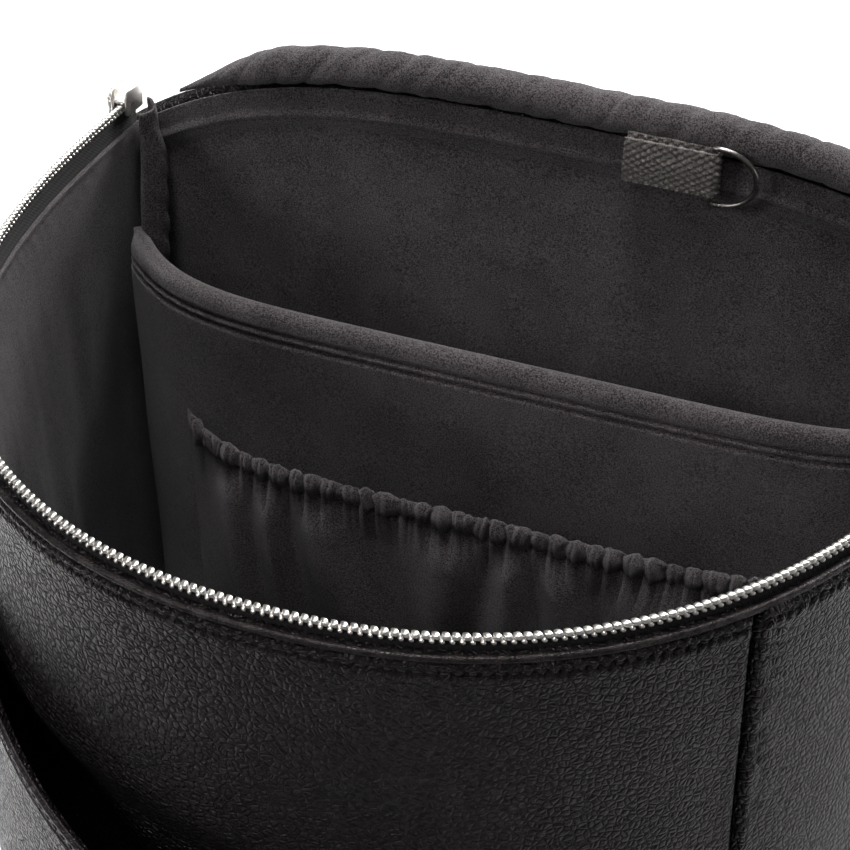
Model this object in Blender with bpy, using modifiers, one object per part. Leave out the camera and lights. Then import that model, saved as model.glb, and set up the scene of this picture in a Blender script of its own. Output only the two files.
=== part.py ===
"""Leather backpack with a U-shaped zipped mouth, shown open with its lid folded back.

Units are metres and +Z is up.  The origin is on the floor, on the bag's middle plane and
75 mm in front of the back wall.  X runs across the bag, -Y is the front with the slip
pocket and +Y is the wearer's back.
"""
import bmesh
import bpy
from math import acos, asin, cos, pi, radians, sin
from mathutils import Matrix, Vector

MM = 0.001
GAP = 0.4 * MM  # clearance between pieces that touch

# ---------------------------------------------------------------- driving dimensions
MOUTH_HALF_WIDTH = 137.6 * MM
MOUTH_DEPTH = 222.0 * MM
BASE_HALF_WIDTH = 130.0 * MM
BASE_DEPTH = 196.0 * MM
REAR_Y = 75.0 * MM  # where the side walls meet the back
MOUTH_REAR_Z = 400.0 * MM
MOUTH_SLOPE = 0.17  # the mouth rises towards the front
MOUTH_DIP = 3.4 * MM  # and sags a little at its middle
TAPER_TOP = 300.0 * MM  # the walls are upright above this height
MOUTH_ROUND = (2.18, 2.65)  # superellipse exponents across and along
BASE_ROUND = (2.9, 3.0)
SEAM_X = 97.8 * MM  # front panel to side panel seam, at the mouth

LEATHER = 2.8 * MM
LINING = 1.2 * MM
WALL_MID = 2.6 * MM  # middle of the leather wall, outside the zip line
LINING_MID = -1.0 * MM
TAPE_MID = 0.4 * MM
TAPE = 0.8 * MM
CHAIN = 2.8 * MM
WALL_TOP = -5.7 * MM  # leather edge, below the zip line
BINDING_Z = -4.0 * MM
BINDING_R = 1.4 * MM

BASE = 3.0 * MM
BOARD = 2.0 * MM
FLOOR_Z = 7.5 * MM
WALL_BOTTOM = BASE + GAP

BACK_IN, BACK_OUT = 75.4 * MM, 85.0 * MM
CREST_Z = 420.8 * MM  # middle of the back panel's top edge
CREST_DROP = 18.0 * MM  # how far that edge falls at CREST_X
CREST_X = 120.0 * MM
ROLL_R = 5.6 * MM
ROLL_HALF = 122.0 * MM

# The front pocket's opening slants: its edges fall from the left seam to the right one.
LIP_Z, LIP_FALL = 358.0 * MM, 28.0 * MM  # bottom edge of the upper front panel
LIP_TURN = -30.0 * MM  # that edge is level to the left of this
POCKET_LOW, POCKET_RISE = 312.0 * MM, 67.5 * MM  # the pocket's own edge
POCKET_FOLD = 336.0 * MM  # the pocket stands off fully at this height
POCKET_GAPE = 12.0 * MM

DIVIDER_Y = 29.5 * MM
DIVIDER_BOW, BOW_HALF, BOW_POWER = 24.0 * MM, 131.0 * MM, 7
DIVIDER = 7.0 * MM
DIVIDER_TOP = 366.0 * MM
ELASTIC_Z = (186.0 * MM, 312.0 * MM, 318.4 * MM)
ELASTIC_HALF = 106.0 * MM
ELASTIC_GAPE = 11.0 * MM

HINGE = Vector((0.0, 90.0 * MM, 429.0 * MM))
LID_OPEN = radians(237.0)
LID_HEIGHT = 20.0 * MM
LID_HALF = 100.0 * MM  # half length of the hinge edge
LID_REAR_Y = 68.0 * MM
LID_CORNER_Y = 4.0 * MM  # the zipped edge starts here, past the cut corner
LID_CROWN = 7.0 * MM
LID_THICK = 3.5 * MM

SLIDER_Y = 68.0 * MM
STOP_Y = 74.7 * MM
HANDLE_Z = 390.0 * MM
HANDLE_Y = 92.6 * MM
STRAP_TOP, STRAP_END = 349.0 * MM, 148.0 * MM
BUCKLE = Vector((97.0 * MM, 104.0 * MM, 134.0 * MM))

FINISHES = {  # colour, roughness, metallic
    "leather": ((0.022, 0.020, 0.020), 0.48, 0.0),
    "lining": ((0.030, 0.028, 0.029), 0.92, 0.0),
    "webbing": ((0.020, 0.020, 0.021), 0.85, 0.0),
    "mesh": ((0.018, 0.018, 0.019), 0.90, 0.0),
    "nickel": ((0.78, 0.77, 0.74), 0.22, 1.0),
    "board": ((0.090, 0.085, 0.080), 0.80, 0.0),
    "buckle": ((0.015, 0.015, 0.016), 0.45, 0.0),
}


# ---------------------------------------------------------------- the shape of the walls
def mix(a, b, s):
    return a + (b - a) * s


def wall_size(z, off):
    """Half width, depth and the two exponents of the wall's plan at height z."""
    s = min(max(z / TAPER_TOP, 0.0), 1.0)
    s = 1.0 - (1.0 - s) ** 2
    return (
        mix(BASE_HALF_WIDTH, MOUTH_HALF_WIDTH, s) + off,
        mix(BASE_DEPTH, MOUTH_DEPTH, s) + off,
        mix(BASE_ROUND[0], MOUTH_ROUND[0], s),
        mix(BASE_ROUND[1], MOUTH_ROUND[1], s),
    )


def wall_point(t, z, off=0.0):
    """A wall point: t is 0 at the left rear, pi/2 at the front and pi at the right rear."""
    half, depth, ex, ey = wall_size(z, off)
    c, s = cos(t), max(sin(t), 0.0)
    x = -half * abs(c) ** (2 / ex) * (1 if c > 0 else -1)
    return Vector((x, REAR_Y - depth * s ** (2 / ey), z))


def rim_z(t):
    """Height of the zip line round the mouth."""
    p = wall_point(t, TAPER_TOP)
    forward = REAR_Y - p.y
    sag = MOUTH_DIP * (1 - (p.x / MOUTH_HALF_WIDTH) ** 2) * forward / MOUTH_DEPTH
    return MOUTH_REAR_Z + MOUTH_SLOPE * forward - sag


def rear_angle(y, z, off=0.0):
    """The left rear angle at which the wall reaches y."""
    _, depth, _, ey = wall_size(z, off)
    return asin(((REAR_Y - y) / depth) ** (ey / 2))


def wall_half(y, z, off):
    """Half the inner width at y and z."""
    half, depth, ex, ey = wall_size(z, off)
    return half * (1 - (max(REAR_Y - y, 0.0) / depth) ** ey) ** (1 / ex)


def crest(x):
    return CREST_DROP * (abs(x) / CREST_X) ** 3.4


def divider_y(x):
    return DIVIDER_Y + DIVIDER_BOW * (abs(x) / BOW_HALF) ** BOW_POWER


SEAM = acos((SEAM_X / MOUTH_HALF_WIDTH) ** (MOUTH_ROUND[0] / 2))
SEAM_GAP = 0.25 * MM / MOUTH_HALF_WIDTH  # half the groove, as an angle


# ---------------------------------------------------------------- makers
def clear_scene():
    for obj in list(bpy.data.objects):
        bpy.data.objects.remove(obj, do_unlink=True)


def collection(name):
    made = bpy.data.collections.new(name)
    bpy.context.scene.collection.children.link(made)
    return made


clear_scene()
BAG = collection("leather_backpack")
TOOLS = collection("guides")


def finish(obj, kind):
    colour, rough, metal = FINISHES[kind]
    mat = bpy.data.materials.new(obj.name)
    mat.use_nodes = True
    shader = mat.node_tree.nodes["Principled BSDF"]
    shader.inputs["Base Color"].default_value = (*colour, 1.0)
    shader.inputs["Roughness"].default_value = rough
    shader.inputs["Metallic"].default_value = metal
    obj.data.materials.append(mat)
    return obj


def add(name, data, kind, where=None):
    obj = bpy.data.objects.new(name, data)
    (where or BAG).objects.link(obj)
    return finish(obj, kind)


def sheet(name, kind, point, nu, nv, thick, bevel=0.0):
    """A grid laid on point(u, v) and thickened evenly on both sides."""
    bm = bmesh.new()
    bmesh.ops.create_grid(bm, x_segments=nu, y_segments=nv, size=1.0)
    for v in bm.verts:
        v.co = point((v.co.x + 1) / 2, (v.co.y + 1) / 2)
    mesh = bpy.data.meshes.new(name)
    bm.to_mesh(mesh)
    bm.free()
    obj = add(name, mesh, kind)
    solid = obj.modifiers.new("thickness", "SOLIDIFY")
    solid.thickness = thick
    solid.offset = 0.0
    solid.use_even_offset = True
    if bevel:
        edge = obj.modifiers.new("edges", "BEVEL")
        edge.width = bevel
        edge.segments = 2
        edge.limit_method = "ANGLE"
        edge.angle_limit = radians(50)
    return obj


def wall_sheet(name, kind, t_range, z_range, mid, thick, nu, nv):
    """A sheet that follows the wall; mid may be a number or a function of the point."""

    def point(u, v):
        t = mix(t_range[0], t_range[1], u)
        low, high = z_range(t) if callable(z_range) else z_range
        z = mix(low, high, v)
        off = mid(wall_point(t, z)) if callable(mid) else mid
        return wall_point(t, z, off)

    return sheet(name, kind, point, nu, nv, thick)


def tube(name, kind, points, radius, cyclic=False):
    curve = bpy.data.curves.new(name, "CURVE")
    curve.dimensions = "3D"
    curve.bevel_depth = radius
    curve.bevel_resolution = 2
    curve.use_fill_caps = True
    spline = curve.splines.new("POLY")
    spline.points.add(len(points) - 1)
    for place, p in zip(spline.points, points):
        place.co = (*p, 1.0)
    spline.use_cyclic_u = cyclic
    return add(name, curve, kind)


def plate(name, kind, outline, thick, matrix, holes=()):
    """A flat outline with holes, thickened; its own X and Y lie in the plate."""
    curve = bpy.data.curves.new(name, "CURVE")
    curve.dimensions = "2D"
    curve.fill_mode = "BOTH"
    curve.extrude = thick / 2
    for ring in (outline, *holes):
        spline = curve.splines.new("POLY")
        spline.points.add(len(ring) - 1)
        for place, p in zip(spline.points, ring):
            place.co = (p[0], p[1], 0.0, 1.0)
        spline.use_cyclic_u = True
    obj = add(name, curve, kind)
    obj.matrix_world = matrix
    return obj


def to_mesh(obj):
    """The same object as a mesh with its caps welded, ready for a Boolean."""
    bpy.context.view_layer.update()
    depsgraph = bpy.context.evaluated_depsgraph_get()
    mesh = bpy.data.meshes.new_from_object(obj.evaluated_get(depsgraph))
    bm = bmesh.new()
    bm.from_mesh(mesh)
    bmesh.ops.remove_doubles(bm, verts=bm.verts, dist=1e-6)
    bmesh.ops.recalc_face_normals(bm, faces=bm.faces)
    bm.to_mesh(mesh)
    bm.free()
    name, place = obj.name, obj.matrix_world.copy()
    home = obj.users_collection[0]
    bpy.data.objects.remove(obj, do_unlink=True)
    made = bpy.data.objects.new(name, mesh)
    home.objects.link(made)
    made.matrix_world = place
    return made


def unite(obj, other):
    """Joins other to obj with an exact Boolean and hides other as a guide."""
    BAG.objects.unlink(other)
    TOOLS.objects.link(other)
    other.hide_render = True
    other.display_type = "WIRE"
    join = obj.modifiers.new("join", "BOOLEAN")
    join.operation = "UNION"
    join.solver = "EXACT"
    join.object = other
    return obj


def box_outline(width, height, centre=(0.0, 0.0), corner=0.0, steps=4):
    """A rectangle, with round corners if corner is given."""
    cx, cy = centre
    if not corner:
        return [
            (cx + i * width / 2, cy + j * height / 2)
            for i, j in ((-1, -1), (1, -1), (1, 1), (-1, 1))
        ]
    points = []
    for quarter, (i, j) in enumerate(((1, 1), (-1, 1), (-1, -1), (1, -1))):
        for k in range(steps + 1):
            a = (quarter + k / steps) * pi / 2
            x = cx + i * (width / 2 - corner) + corner * cos(a)
            y = cy + j * (height / 2 - corner) + corner * sin(a)
            points.append((x, y))
    return points


def circle_outline(radius, centre, steps=12):
    return [
        (centre[0] + radius * cos(2 * pi * k / steps), centre[1] + radius * sin(2 * pi * k / steps))
        for k in range(steps)
    ]


def upright(x, y, z):
    """Places a plate in the XZ plane: its X is world X, its Y is world Z, facing -Y."""
    return Matrix.Translation((x, y, z)) @ Matrix.Rotation(pi / 2, 4, "X")


def pivot(name, place, rotation=(0.0, 0.0, 0.0)):
    empty = bpy.data.objects.new(name, None)
    empty.empty_display_size = 0.01
    TOOLS.objects.link(empty)
    empty.location = place
    empty.rotation_euler = rotation
    return empty


def hang(obj, empty):
    """Parents obj so that it keeps its place in the world."""
    bpy.context.view_layer.update()
    place = obj.matrix_world.copy()
    obj.parent = empty
    obj.matrix_parent_inverse = empty.matrix_world.inverted()
    obj.matrix_world = place


# ---------------------------------------------------------------- base
def base_outline(off, rear_y):
    ring = [wall_point(pi * k / 40, 0.0, off) for k in range(41)]
    ring = [(p.x, min(p.y, rear_y)) for p in ring]
    return ring + [(ring[-1][0], rear_y), (ring[0][0], rear_y)]


def base_layer(name, kind, off, rear_y, low, thick):
    outline = base_outline(off, rear_y)
    outline = [p for i, p in enumerate(outline) if (Vector(p) - Vector(outline[i - 1])).length > MM]
    return plate(name, kind, outline, thick, Matrix.Translation((0, 0, low + thick / 2)))


def make_base():
    base_layer("base_panel", "leather", 5.0 * MM, BACK_OUT, 0.0, BASE)
    base_layer("base_board", "board", 0.7 * MM, 74.9 * MM, BASE + GAP, BOARD)
    low = BASE + BOARD + 2 * GAP
    base_layer("base_lining", "lining", -0.4 * MM, 74.9 * MM, low, LINING)


# ---------------------------------------------------------------- outer walls
def lip_z(t):
    x = wall_point(t, TAPER_TOP).x
    return LIP_Z - LIP_FALL * (max(x - LIP_TURN, 0.0) / (SEAM_X - LIP_TURN)) ** 1.5


def make_walls():
    def full(t):
        return WALL_BOTTOM, rim_z(t) + WALL_TOP

    def upper(t):
        return lip_z(t), rim_z(t) + WALL_TOP

    sides = (("left", (0.0, SEAM - SEAM_GAP)), ("right", (pi - SEAM + SEAM_GAP, pi)))
    for side, span in sides:
        wall_sheet("side_panel_" + side, "leather", span, full, WALL_MID, LEATHER, 9, 6)
    front = (SEAM + SEAM_GAP, pi - SEAM - SEAM_GAP)
    wall_sheet("front_upper_panel", "leather", front, upper, WALL_MID, LEATHER, 24, 2)

    def low(t):
        return WALL_BOTTOM, lip_z(t) - GAP

    wall_sheet("front_pocket_back", "lining", front, low, 1.8 * MM, LINING, 24, 5)


def make_rim():
    ends = rear_angle(74 * MM, TAPER_TOP)
    path = []
    for k in range(49):
        t = mix(ends, pi - ends, k / 48)
        path.append(wall_point(t, rim_z(t) + BINDING_Z, WALL_MID))
    tube("rim_binding", "leather", path, BINDING_R)


def pocket_gape(p):
    """How far the pocket's leather stands off the bag at a wall point."""
    s = min(p.z / POCKET_FOLD, 1.1)
    middle = max(1 - (p.x / SEAM_X) ** 2, 0.0)
    return 4.4 * MM + 1.5 * MM * s + POCKET_GAPE * middle * s**1.5


def pocket_edge(t):
    x = wall_point(t, TAPER_TOP).x
    s = min(max((SEAM_X - x) / (2 * SEAM_X), 0.0), 1.0)
    return POCKET_LOW + POCKET_RISE * s**2.2


def make_front_pocket():
    front = (SEAM + SEAM_GAP, pi - SEAM - SEAM_GAP)

    def span(t):
        return WALL_BOTTOM, pocket_edge(t)

    wall_sheet("front_pocket_panel", "leather", front, span, pocket_gape, LEATHER, 20, 6)
    path = []
    for k in range(25):
        t = mix(front[0], front[1], k / 24)
        z = pocket_edge(t)
        path.append(wall_point(t, z + 2.4 * MM, pocket_gape(wall_point(t, z))))
    tube("front_pocket_binding", "leather", path, 2.0 * MM)


# ---------------------------------------------------------------- back
def make_back():
    mid = (BACK_IN + BACK_OUT) / 2

    def panel(u, v):
        top_half = wall_size(CREST_Z, 4.2 * MM)[0]
        z = mix(WALL_BOTTOM, CREST_Z - crest((2 * u - 1) * top_half), v)
        x = (2 * u - 1) * wall_size(z, 4.2 * MM)[0]
        return Vector((x, mid, z))

    sheet("back_panel", "leather", panel, 14, 4, BACK_OUT - BACK_IN)

    def lining(u, v):
        top_half = wall_size(CREST_Z, 0.0)[0]
        z = mix(FLOOR_Z, CREST_Z - MM - crest((2 * u - 1) * top_half), v)
        x = (2 * u - 1) * (wall_size(z, 0.0)[0] - 0.6 * MM)
        return Vector((x, 74.2 * MM, z))

    sheet("back_lining", "lining", lining, 14, 4, LINING)

    for side, s in (("left", -1), ("right", 1)):
        outline = box_outline(84 * MM, 240 * MM, corner=16 * MM)
        plate("back_pad_" + side, "mesh", outline, 8.6 * MM,
              upright(s * 57 * MM, BACK_OUT + GAP + 4.3 * MM, 192 * MM))

    patch = box_outline(118 * MM, 13 * MM, corner=4 * MM)
    plate("handle_patch", "leather", patch, 2.0 * MM,
          upright(0, BACK_OUT + GAP + MM, HANDLE_Z))
    yoke = box_outline(176 * MM, 30 * MM, corner=6 * MM)
    plate("strap_yoke", "leather", yoke, 2.4 * MM,
          upright(0, BACK_OUT + GAP + 1.2 * MM, 367 * MM))


def make_handle():
    path = []
    for k in range(19):
        a = pi * k / 18
        x = -40 * MM * (abs(cos(a)) ** 0.7) * (1 if cos(a) > 0 else -1)
        z = HANDLE_Z - 34 * MM * sin(a) ** 0.7
        path.append(Vector((x, HANDLE_Y, z)))
    handle = tube("carry_handle", "leather", path, 4.4 * MM)
    hang(handle, pivot("handle_axis", (0, HANDLE_Y, HANDLE_Z)))


# ---------------------------------------------------------------- inside
def make_lining():
    def point(u, v):
        z_guess = mix(FLOOR_Z, MOUTH_REAR_Z, v)
        start = rear_angle(73.0 * MM, z_guess, LINING_MID)
        t = mix(start, pi - start, u)
        z = mix(FLOOR_Z, rim_z(t) - 8.5 * MM, v)
        return wall_point(t, z, LINING_MID)

    sheet("body_lining", "lining", point, 44, 5, LINING)


def make_divider():
    def point(u, v):
        z = mix(FLOOR_Z + GAP, DIVIDER_TOP, v)
        turn = 1.3  # packs the columns towards the bowed ends
        x = wall_half(57 * MM, z, -6.4 * MM) * sin((2 * u - 1) * turn) / sin(turn)
        return Vector((x, divider_y(x), z))

    sheet("divider", "lining", point, 18, 4, DIVIDER)

    for side in ("left", "right"):
        def gusset(u, v):
            y = mix(62.0 * MM, 72.6 * MM, u)
            top = mix(362.0 * MM, 394.0 * MM, u)
            z = mix(FLOOR_Z + GAP, top, v)
            t = rear_angle(y, z, -2.6 * MM)
            return wall_point(t if side == "left" else pi - t, z, -2.6 * MM)

        sheet("divider_gusset_" + side, "lining", gusset, 3, 6, 1.0 * MM)


def elastic_y(x, v):
    """Middle of the gathered pocket's cloth; v is 0 at its foot and 1 at its elastic."""
    edge = 1 - min(abs(x) / ELASTIC_HALF, 1.0) ** 6
    return divider_y(x) - DIVIDER / 2 - 1.0 * MM - ELASTIC_GAPE * v**1.5 * edge


def make_elastic_pocket():
    low, seam, top = ELASTIC_Z

    def cloth(u, v):
        x = (2 * u - 1) * ELASTIC_HALF
        return Vector((x, elastic_y(x, v), mix(low, seam, v)))

    def casing(u, v):
        x = (2 * u - 1) * ELASTIC_HALF
        return Vector((x, elastic_y(x, 1.0) - 0.9 * MM, mix(seam + GAP, top, v)))

    sheet("elastic_pocket", "lining", cloth, 18, 4, 1.0 * MM)
    sheet("elastic_casing", "lining", casing, 18, 1, 2.6 * MM)


LOOP_X = (20 * MM, 45.5 * MM)
LOOP_Z = (411 * MM, 425 * MM)
LOOP_Y = 68.0 * MM


def make_key_loop():
    """Webbing folded round the ring's bar and sewn to the lining at its free end."""
    r = 1.7 * MM
    path = [(LOOP_X[0], r), (mix(*LOOP_X, 0.5), r)]
    path += [(LOOP_X[1] + r * sin(a), r * cos(a)) for a in (pi * k / 8 for k in range(9))]
    path += [(mix(*LOOP_X, 0.5), -r), (LOOP_X[0], -r)]

    def point(u, v):
        x, y = path[round(u * (len(path) - 1))]
        return Vector((x, LOOP_Y + y, mix(*LOOP_Z, v)))

    sheet("key_loop", "webbing", point, len(path) - 1, 1, 1.1 * MM)
    low, high = LOOP_Z[0] - 2 * MM, LOOP_Z[1]
    mid, half = (low + high) / 2, (high - low) / 2 + 1.5 * MM
    ring = [Vector((LOOP_X[1], LOOP_Y, mid + half * (1 - 2 * k / 4))) for k in range(5)]
    for k in range(1, 12):
        a = pi / 2 - pi * k / 12
        x = LOOP_X[1] + 13 * MM * cos(a) ** 0.8
        ring.append(Vector((x, LOOP_Y, mid - half * sin(a))))
    obj = tube("key_ring", "nickel", ring, 0.85 * MM, cyclic=True)
    hang(obj, pivot("key_ring_axis", (LOOP_X[1], LOOP_Y, mid)))


# ---------------------------------------------------------------- zipper on the body
def make_body_zip():
    ends = rear_angle(71.0 * MM, TAPER_TOP)
    span = (ends, pi - ends)

    def tape(t):
        return rim_z(t) - 14 * MM, rim_z(t) - 2.5 * MM

    def chain(t):
        return rim_z(t) - 2.2 * MM, rim_z(t) + 1.3 * MM

    wall_sheet("body_zip_tape", "webbing", span, tape, TAPE_MID, TAPE, 48, 1)
    wall_sheet("body_zip_chain", "nickel", span, chain, TAPE_MID, CHAIN, 48, 1)
    stop_t = rear_angle(STOP_Y, TAPER_TOP)
    for side, t in (("left", stop_t), ("right", pi - stop_t)):
        place = wall_point(t, rim_z(t) - 0.4 * MM, TAPE_MID)
        stop = box_outline(2.6 * MM, 2.0 * MM, corner=0.5 * MM, steps=2)
        plate("zip_stop_" + side, "nickel", stop, 3.8 * MM, Matrix.Translation(place))


def zip_frame(side, y):
    """Axes at the chain: X outward, Y up across the chain, Z along it."""
    t = rear_angle(y, TAPER_TOP)
    t = t if side < 0 else pi - t
    place = wall_point(t, rim_z(t), TAPE_MID)
    along = Vector((0, -1, MOUTH_SLOPE)).normalized() * side
    out = Vector((side, 0, 0))
    up = along.cross(out)
    frame = Matrix((out, up, along)).transposed().to_4x4()
    return Matrix.Translation(place) @ frame


SLIDER_PLATE = (1.75 * MM, 2.85 * MM)  # inner and outer face, from the chain's middle
SLIDER_Z = (-2.1 * MM, 6.6 * MM)
SLIDER_WEB = (1.65 * MM, 2.75 * MM)
SLIDER_LENGTH = 11.0 * MM
BAIL = (5.1 * MM, 1.5 * MM)  # the puller's axis, outward and up


def slider_outline():
    """Two plates joined by a web that runs between the two rows of teeth."""
    inner, outer = SLIDER_PLATE
    low, high = SLIDER_Z
    web_low, web_high = SLIDER_WEB
    right = [(outer, low), (outer, high), (inner, high), (inner, web_high)]
    left = [(-inner, web_high), (-inner, high), (-outer, high), (-outer, low)]
    return right + left + [(-inner, low), (-inner, web_low), (inner, web_low), (inner, low)]


def make_slider(name, side):
    frame = zip_frame(side, SLIDER_Y)
    body = plate("zip_slider_" + name, "nickel", slider_outline(), SLIDER_LENGTH, frame)
    body = to_mesh(body)
    flat = Matrix.Rotation(-pi / 2, 4, "X")
    outline = box_outline(3.15 * MM, 7.2 * MM, (4.075 * MM, 0.0))
    window = box_outline(1.6 * MM, 5.2 * MM, (3.75 * MM, 0.0))
    bail = plate("bail_" + name, "nickel", outline, 1.2 * MM,
                 frame @ Matrix.Translation((0, BAIL[1], 0)) @ flat, holes=(window,))
    unite(body, to_mesh(bail))
    r, half = 1.9 * MM, 0.5 * MM
    dip = asin(half / r)
    loop = [
        (BAIL[0] + r * cos(a), BAIL[1] + r * sin(a))
        for a in (mix(-pi / 2 + dip, 3 * pi / 2 - dip, k / 14) for k in range(15))
    ]
    tab = [(BAIL[0] - half, -21 * MM), (BAIL[0] + half, -21 * MM)]
    eye = circle_outline(1.1 * MM, BAIL, 10)
    pull = plate("zip_pull_" + name, "nickel", loop + tab, 4.6 * MM, frame, holes=(eye,))
    slide = pivot("slider_axis_" + name, frame.translation)
    hinge = pivot("pull_axis_" + name, frame @ Vector((BAIL[0], BAIL[1], 0)))
    hang(body, slide)
    hang(hinge, slide)
    hang(pull, hinge)


# ---------------------------------------------------------------- lid
def lid_edge(u, off=0.0, rise=0.0):
    start = rear_angle(LID_CORNER_Y, TAPER_TOP)
    t = mix(start, pi - start, u)
    return wall_point(t, rim_z(t) + rise, off)


def lid_point(u, v, off, drop):
    """The closed lid's top: v runs from the hinge edge to the zipped edge."""
    hinge = Vector(((2 * u - 1) * LID_HALF, LID_REAR_Y, 440 * MM))
    edge = lid_edge(u, off, LID_HEIGHT)
    p = hinge.lerp(edge, v)
    p.z += LID_CROWN * sin(pi * v) * sin(pi * u) ** 0.5 - drop
    return p


def make_lid():
    parts = []

    def shell(u, v):
        return lid_point(u, v, 4.0 * MM, 0.0)

    def inner(u, v):
        return lid_point(u, v * 0.97, -2.0 * MM, LID_THICK / 2 + 2 * GAP + LINING / 2)

    parts.append(sheet("lid_panel", "leather", shell, 26, 6, LID_THICK))
    parts.append(sheet("lid_lining", "lining", inner, 26, 5, LINING))

    def band(mid, low, high):
        return lambda u, v: lid_edge(u, mid, mix(low, high, v))

    top = LID_HEIGHT - LID_THICK / 2 - 1.2 * MM
    rows = (
        ("lid_side_band", "leather", WALL_MID, 10.2 * MM, top, LEATHER),
        ("lid_zip_tape", "webbing", TAPE_MID, 6.9 * MM, 14.0 * MM, TAPE),
        ("lid_zip_chain", "nickel", TAPE_MID, 3.1 * MM, 6.6 * MM, CHAIN),
    )
    for name, kind, mid, low, high, thick in rows:
        parts.append(sheet(name, kind, band(mid, low, high), 40, 1, thick))
    path = [lid_edge(k / 40, WALL_MID, 8.5 * MM) for k in range(41)]
    parts.append(tube("lid_binding", "leather", path, BINDING_R))

    closed = pivot("lid_axis", HINGE)
    for obj in parts:
        hang(obj, closed)
    closed.rotation_euler = (-LID_OPEN, 0, 0)


def make_hinge_roll():
    """The padded fold between the back and the lid."""
    path = []
    for k in range(23):
        x = mix(-ROLL_HALF, ROLL_HALF, k / 22)
        path.append(Vector((x, 76 * MM, CREST_Z + ROLL_R + 0.6 * MM - crest(x))))
    tube("hinge_roll", "lining", path, ROLL_R)


# ---------------------------------------------------------------- straps
def make_straps():
    for name, side in (("left", -1), ("right", 1)):
        def pad(u, v):
            z = mix(STRAP_TOP, STRAP_END, v)
            half = mix(29 * MM, 19 * MM, v**1.5)
            y = 91.5 * MM + 16 * MM * sin(pi * min(v * 1.1, 1) / 2) ** 0.55
            x = mix(52 * MM, 97 * MM, v**1.2)
            return Vector((side * (x + (2 * u - 1) * half), y, z))

        sheet("shoulder_strap_" + name, "leather", pad, 3, 10, 8.0 * MM, bevel=1.5 * MM)

        frame = box_outline(42 * MM, 22 * MM, corner=3 * MM, steps=3)
        slots = [box_outline(31 * MM, 4.4 * MM, (0, y)) for y in (4.8 * MM, -4.6 * MM)]
        buckle = plate("strap_buckle_" + name, "buckle", frame, 3.4 * MM,
                       upright(side * BUCKLE.x, BUCKLE.y, BUCKLE.z), holes=slots)
        axis = pivot("adjuster_axis_" + name, (side * BUCKLE.x, BUCKLE.y, BUCKLE.z))
        hang(buckle, axis)

        route = webbing_route()

        def band(u, v):
            x, y, z = route[round(v * (len(route) - 1))]
            return Vector((side * (x + (2 * u - 1) * 14 * MM), y, z))

        sheet("strap_webbing_" + name, "webbing", band, 2, len(route) - 1, 1.4 * MM)

        tab = [(-15 * MM, -11 * MM), (15 * MM, -11 * MM), (17 * MM, 8 * MM), (-17 * MM, 8 * MM)]
        plate("strap_anchor_" + name, "leather", tab, 3.0 * MM,
              upright(side * 112 * MM, BACK_OUT + GAP + 1.5 * MM, 26 * MM))


def webbing_route():
    """Up from the anchor, through the buckle's lower slot and down again as a tail."""
    foot = Vector((112 * MM, 87.0 * MM, 35.0 * MM))
    turn = Vector((BUCKLE.x, BUCKLE.y - 2.9 * MM, BUCKLE.z - 10.0 * MM))
    route = [foot, foot + Vector((-0.5 * MM, 3.0 * MM, 8 * MM))]
    start = route[-1].copy()
    for k in range(1, 7):
        s = k / 6
        p = start.lerp(turn, s)
        p.y += 2.5 * MM * sin(pi * s)
        route.append(p)
    slot_z = BUCKLE.z - 4.6 * MM
    r = 3.1 * MM
    for k in range(1, 8):
        a = pi * k / 8
        route.append(Vector((BUCKLE.x, BUCKLE.y - r * cos(a), slot_z - 2.2 * MM + 2.6 * MM * sin(a))))
    for k in range(5):
        route.append(Vector((BUCKLE.x, BUCKLE.y + r + k * 0.5 * MM, turn.z - k * 14 * MM)))
    return route


make_base()
make_walls()
make_rim()
make_front_pocket()
make_back()
make_handle()
make_lining()
make_divider()
make_elastic_pocket()
make_key_loop()
make_body_zip()
for side_name, side_sign in (("left", -1), ("right", 1)):
    make_slider(side_name, side_sign)
make_hinge_roll()
make_lid()
make_straps()
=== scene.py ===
"""Looks of the leather backpack: its visible pieces, materials, light and camera.

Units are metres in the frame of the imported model: +X is right as seen from the front,
-Y is the front with the slip pocket, +Z is up and the floor is at z = 0.
"""
from math import acos, asin, cos, exp, pi, radians, sin, sqrt

import bmesh
import bpy
import numpy as np
from mathutils import Matrix, Vector, noise


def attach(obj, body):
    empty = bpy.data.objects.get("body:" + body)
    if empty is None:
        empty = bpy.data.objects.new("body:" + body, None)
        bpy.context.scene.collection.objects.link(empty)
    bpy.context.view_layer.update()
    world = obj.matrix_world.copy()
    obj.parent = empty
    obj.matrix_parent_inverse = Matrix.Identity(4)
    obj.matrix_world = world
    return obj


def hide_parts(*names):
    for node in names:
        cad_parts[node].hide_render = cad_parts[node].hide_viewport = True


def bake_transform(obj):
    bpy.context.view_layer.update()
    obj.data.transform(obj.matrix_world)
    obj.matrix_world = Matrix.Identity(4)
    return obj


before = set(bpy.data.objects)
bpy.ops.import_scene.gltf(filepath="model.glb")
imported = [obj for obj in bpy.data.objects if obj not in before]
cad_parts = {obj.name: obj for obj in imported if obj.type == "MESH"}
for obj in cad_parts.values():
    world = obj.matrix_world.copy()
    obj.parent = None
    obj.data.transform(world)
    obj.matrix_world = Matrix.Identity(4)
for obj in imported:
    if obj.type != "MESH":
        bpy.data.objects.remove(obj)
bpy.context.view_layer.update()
MM = 0.001

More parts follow.
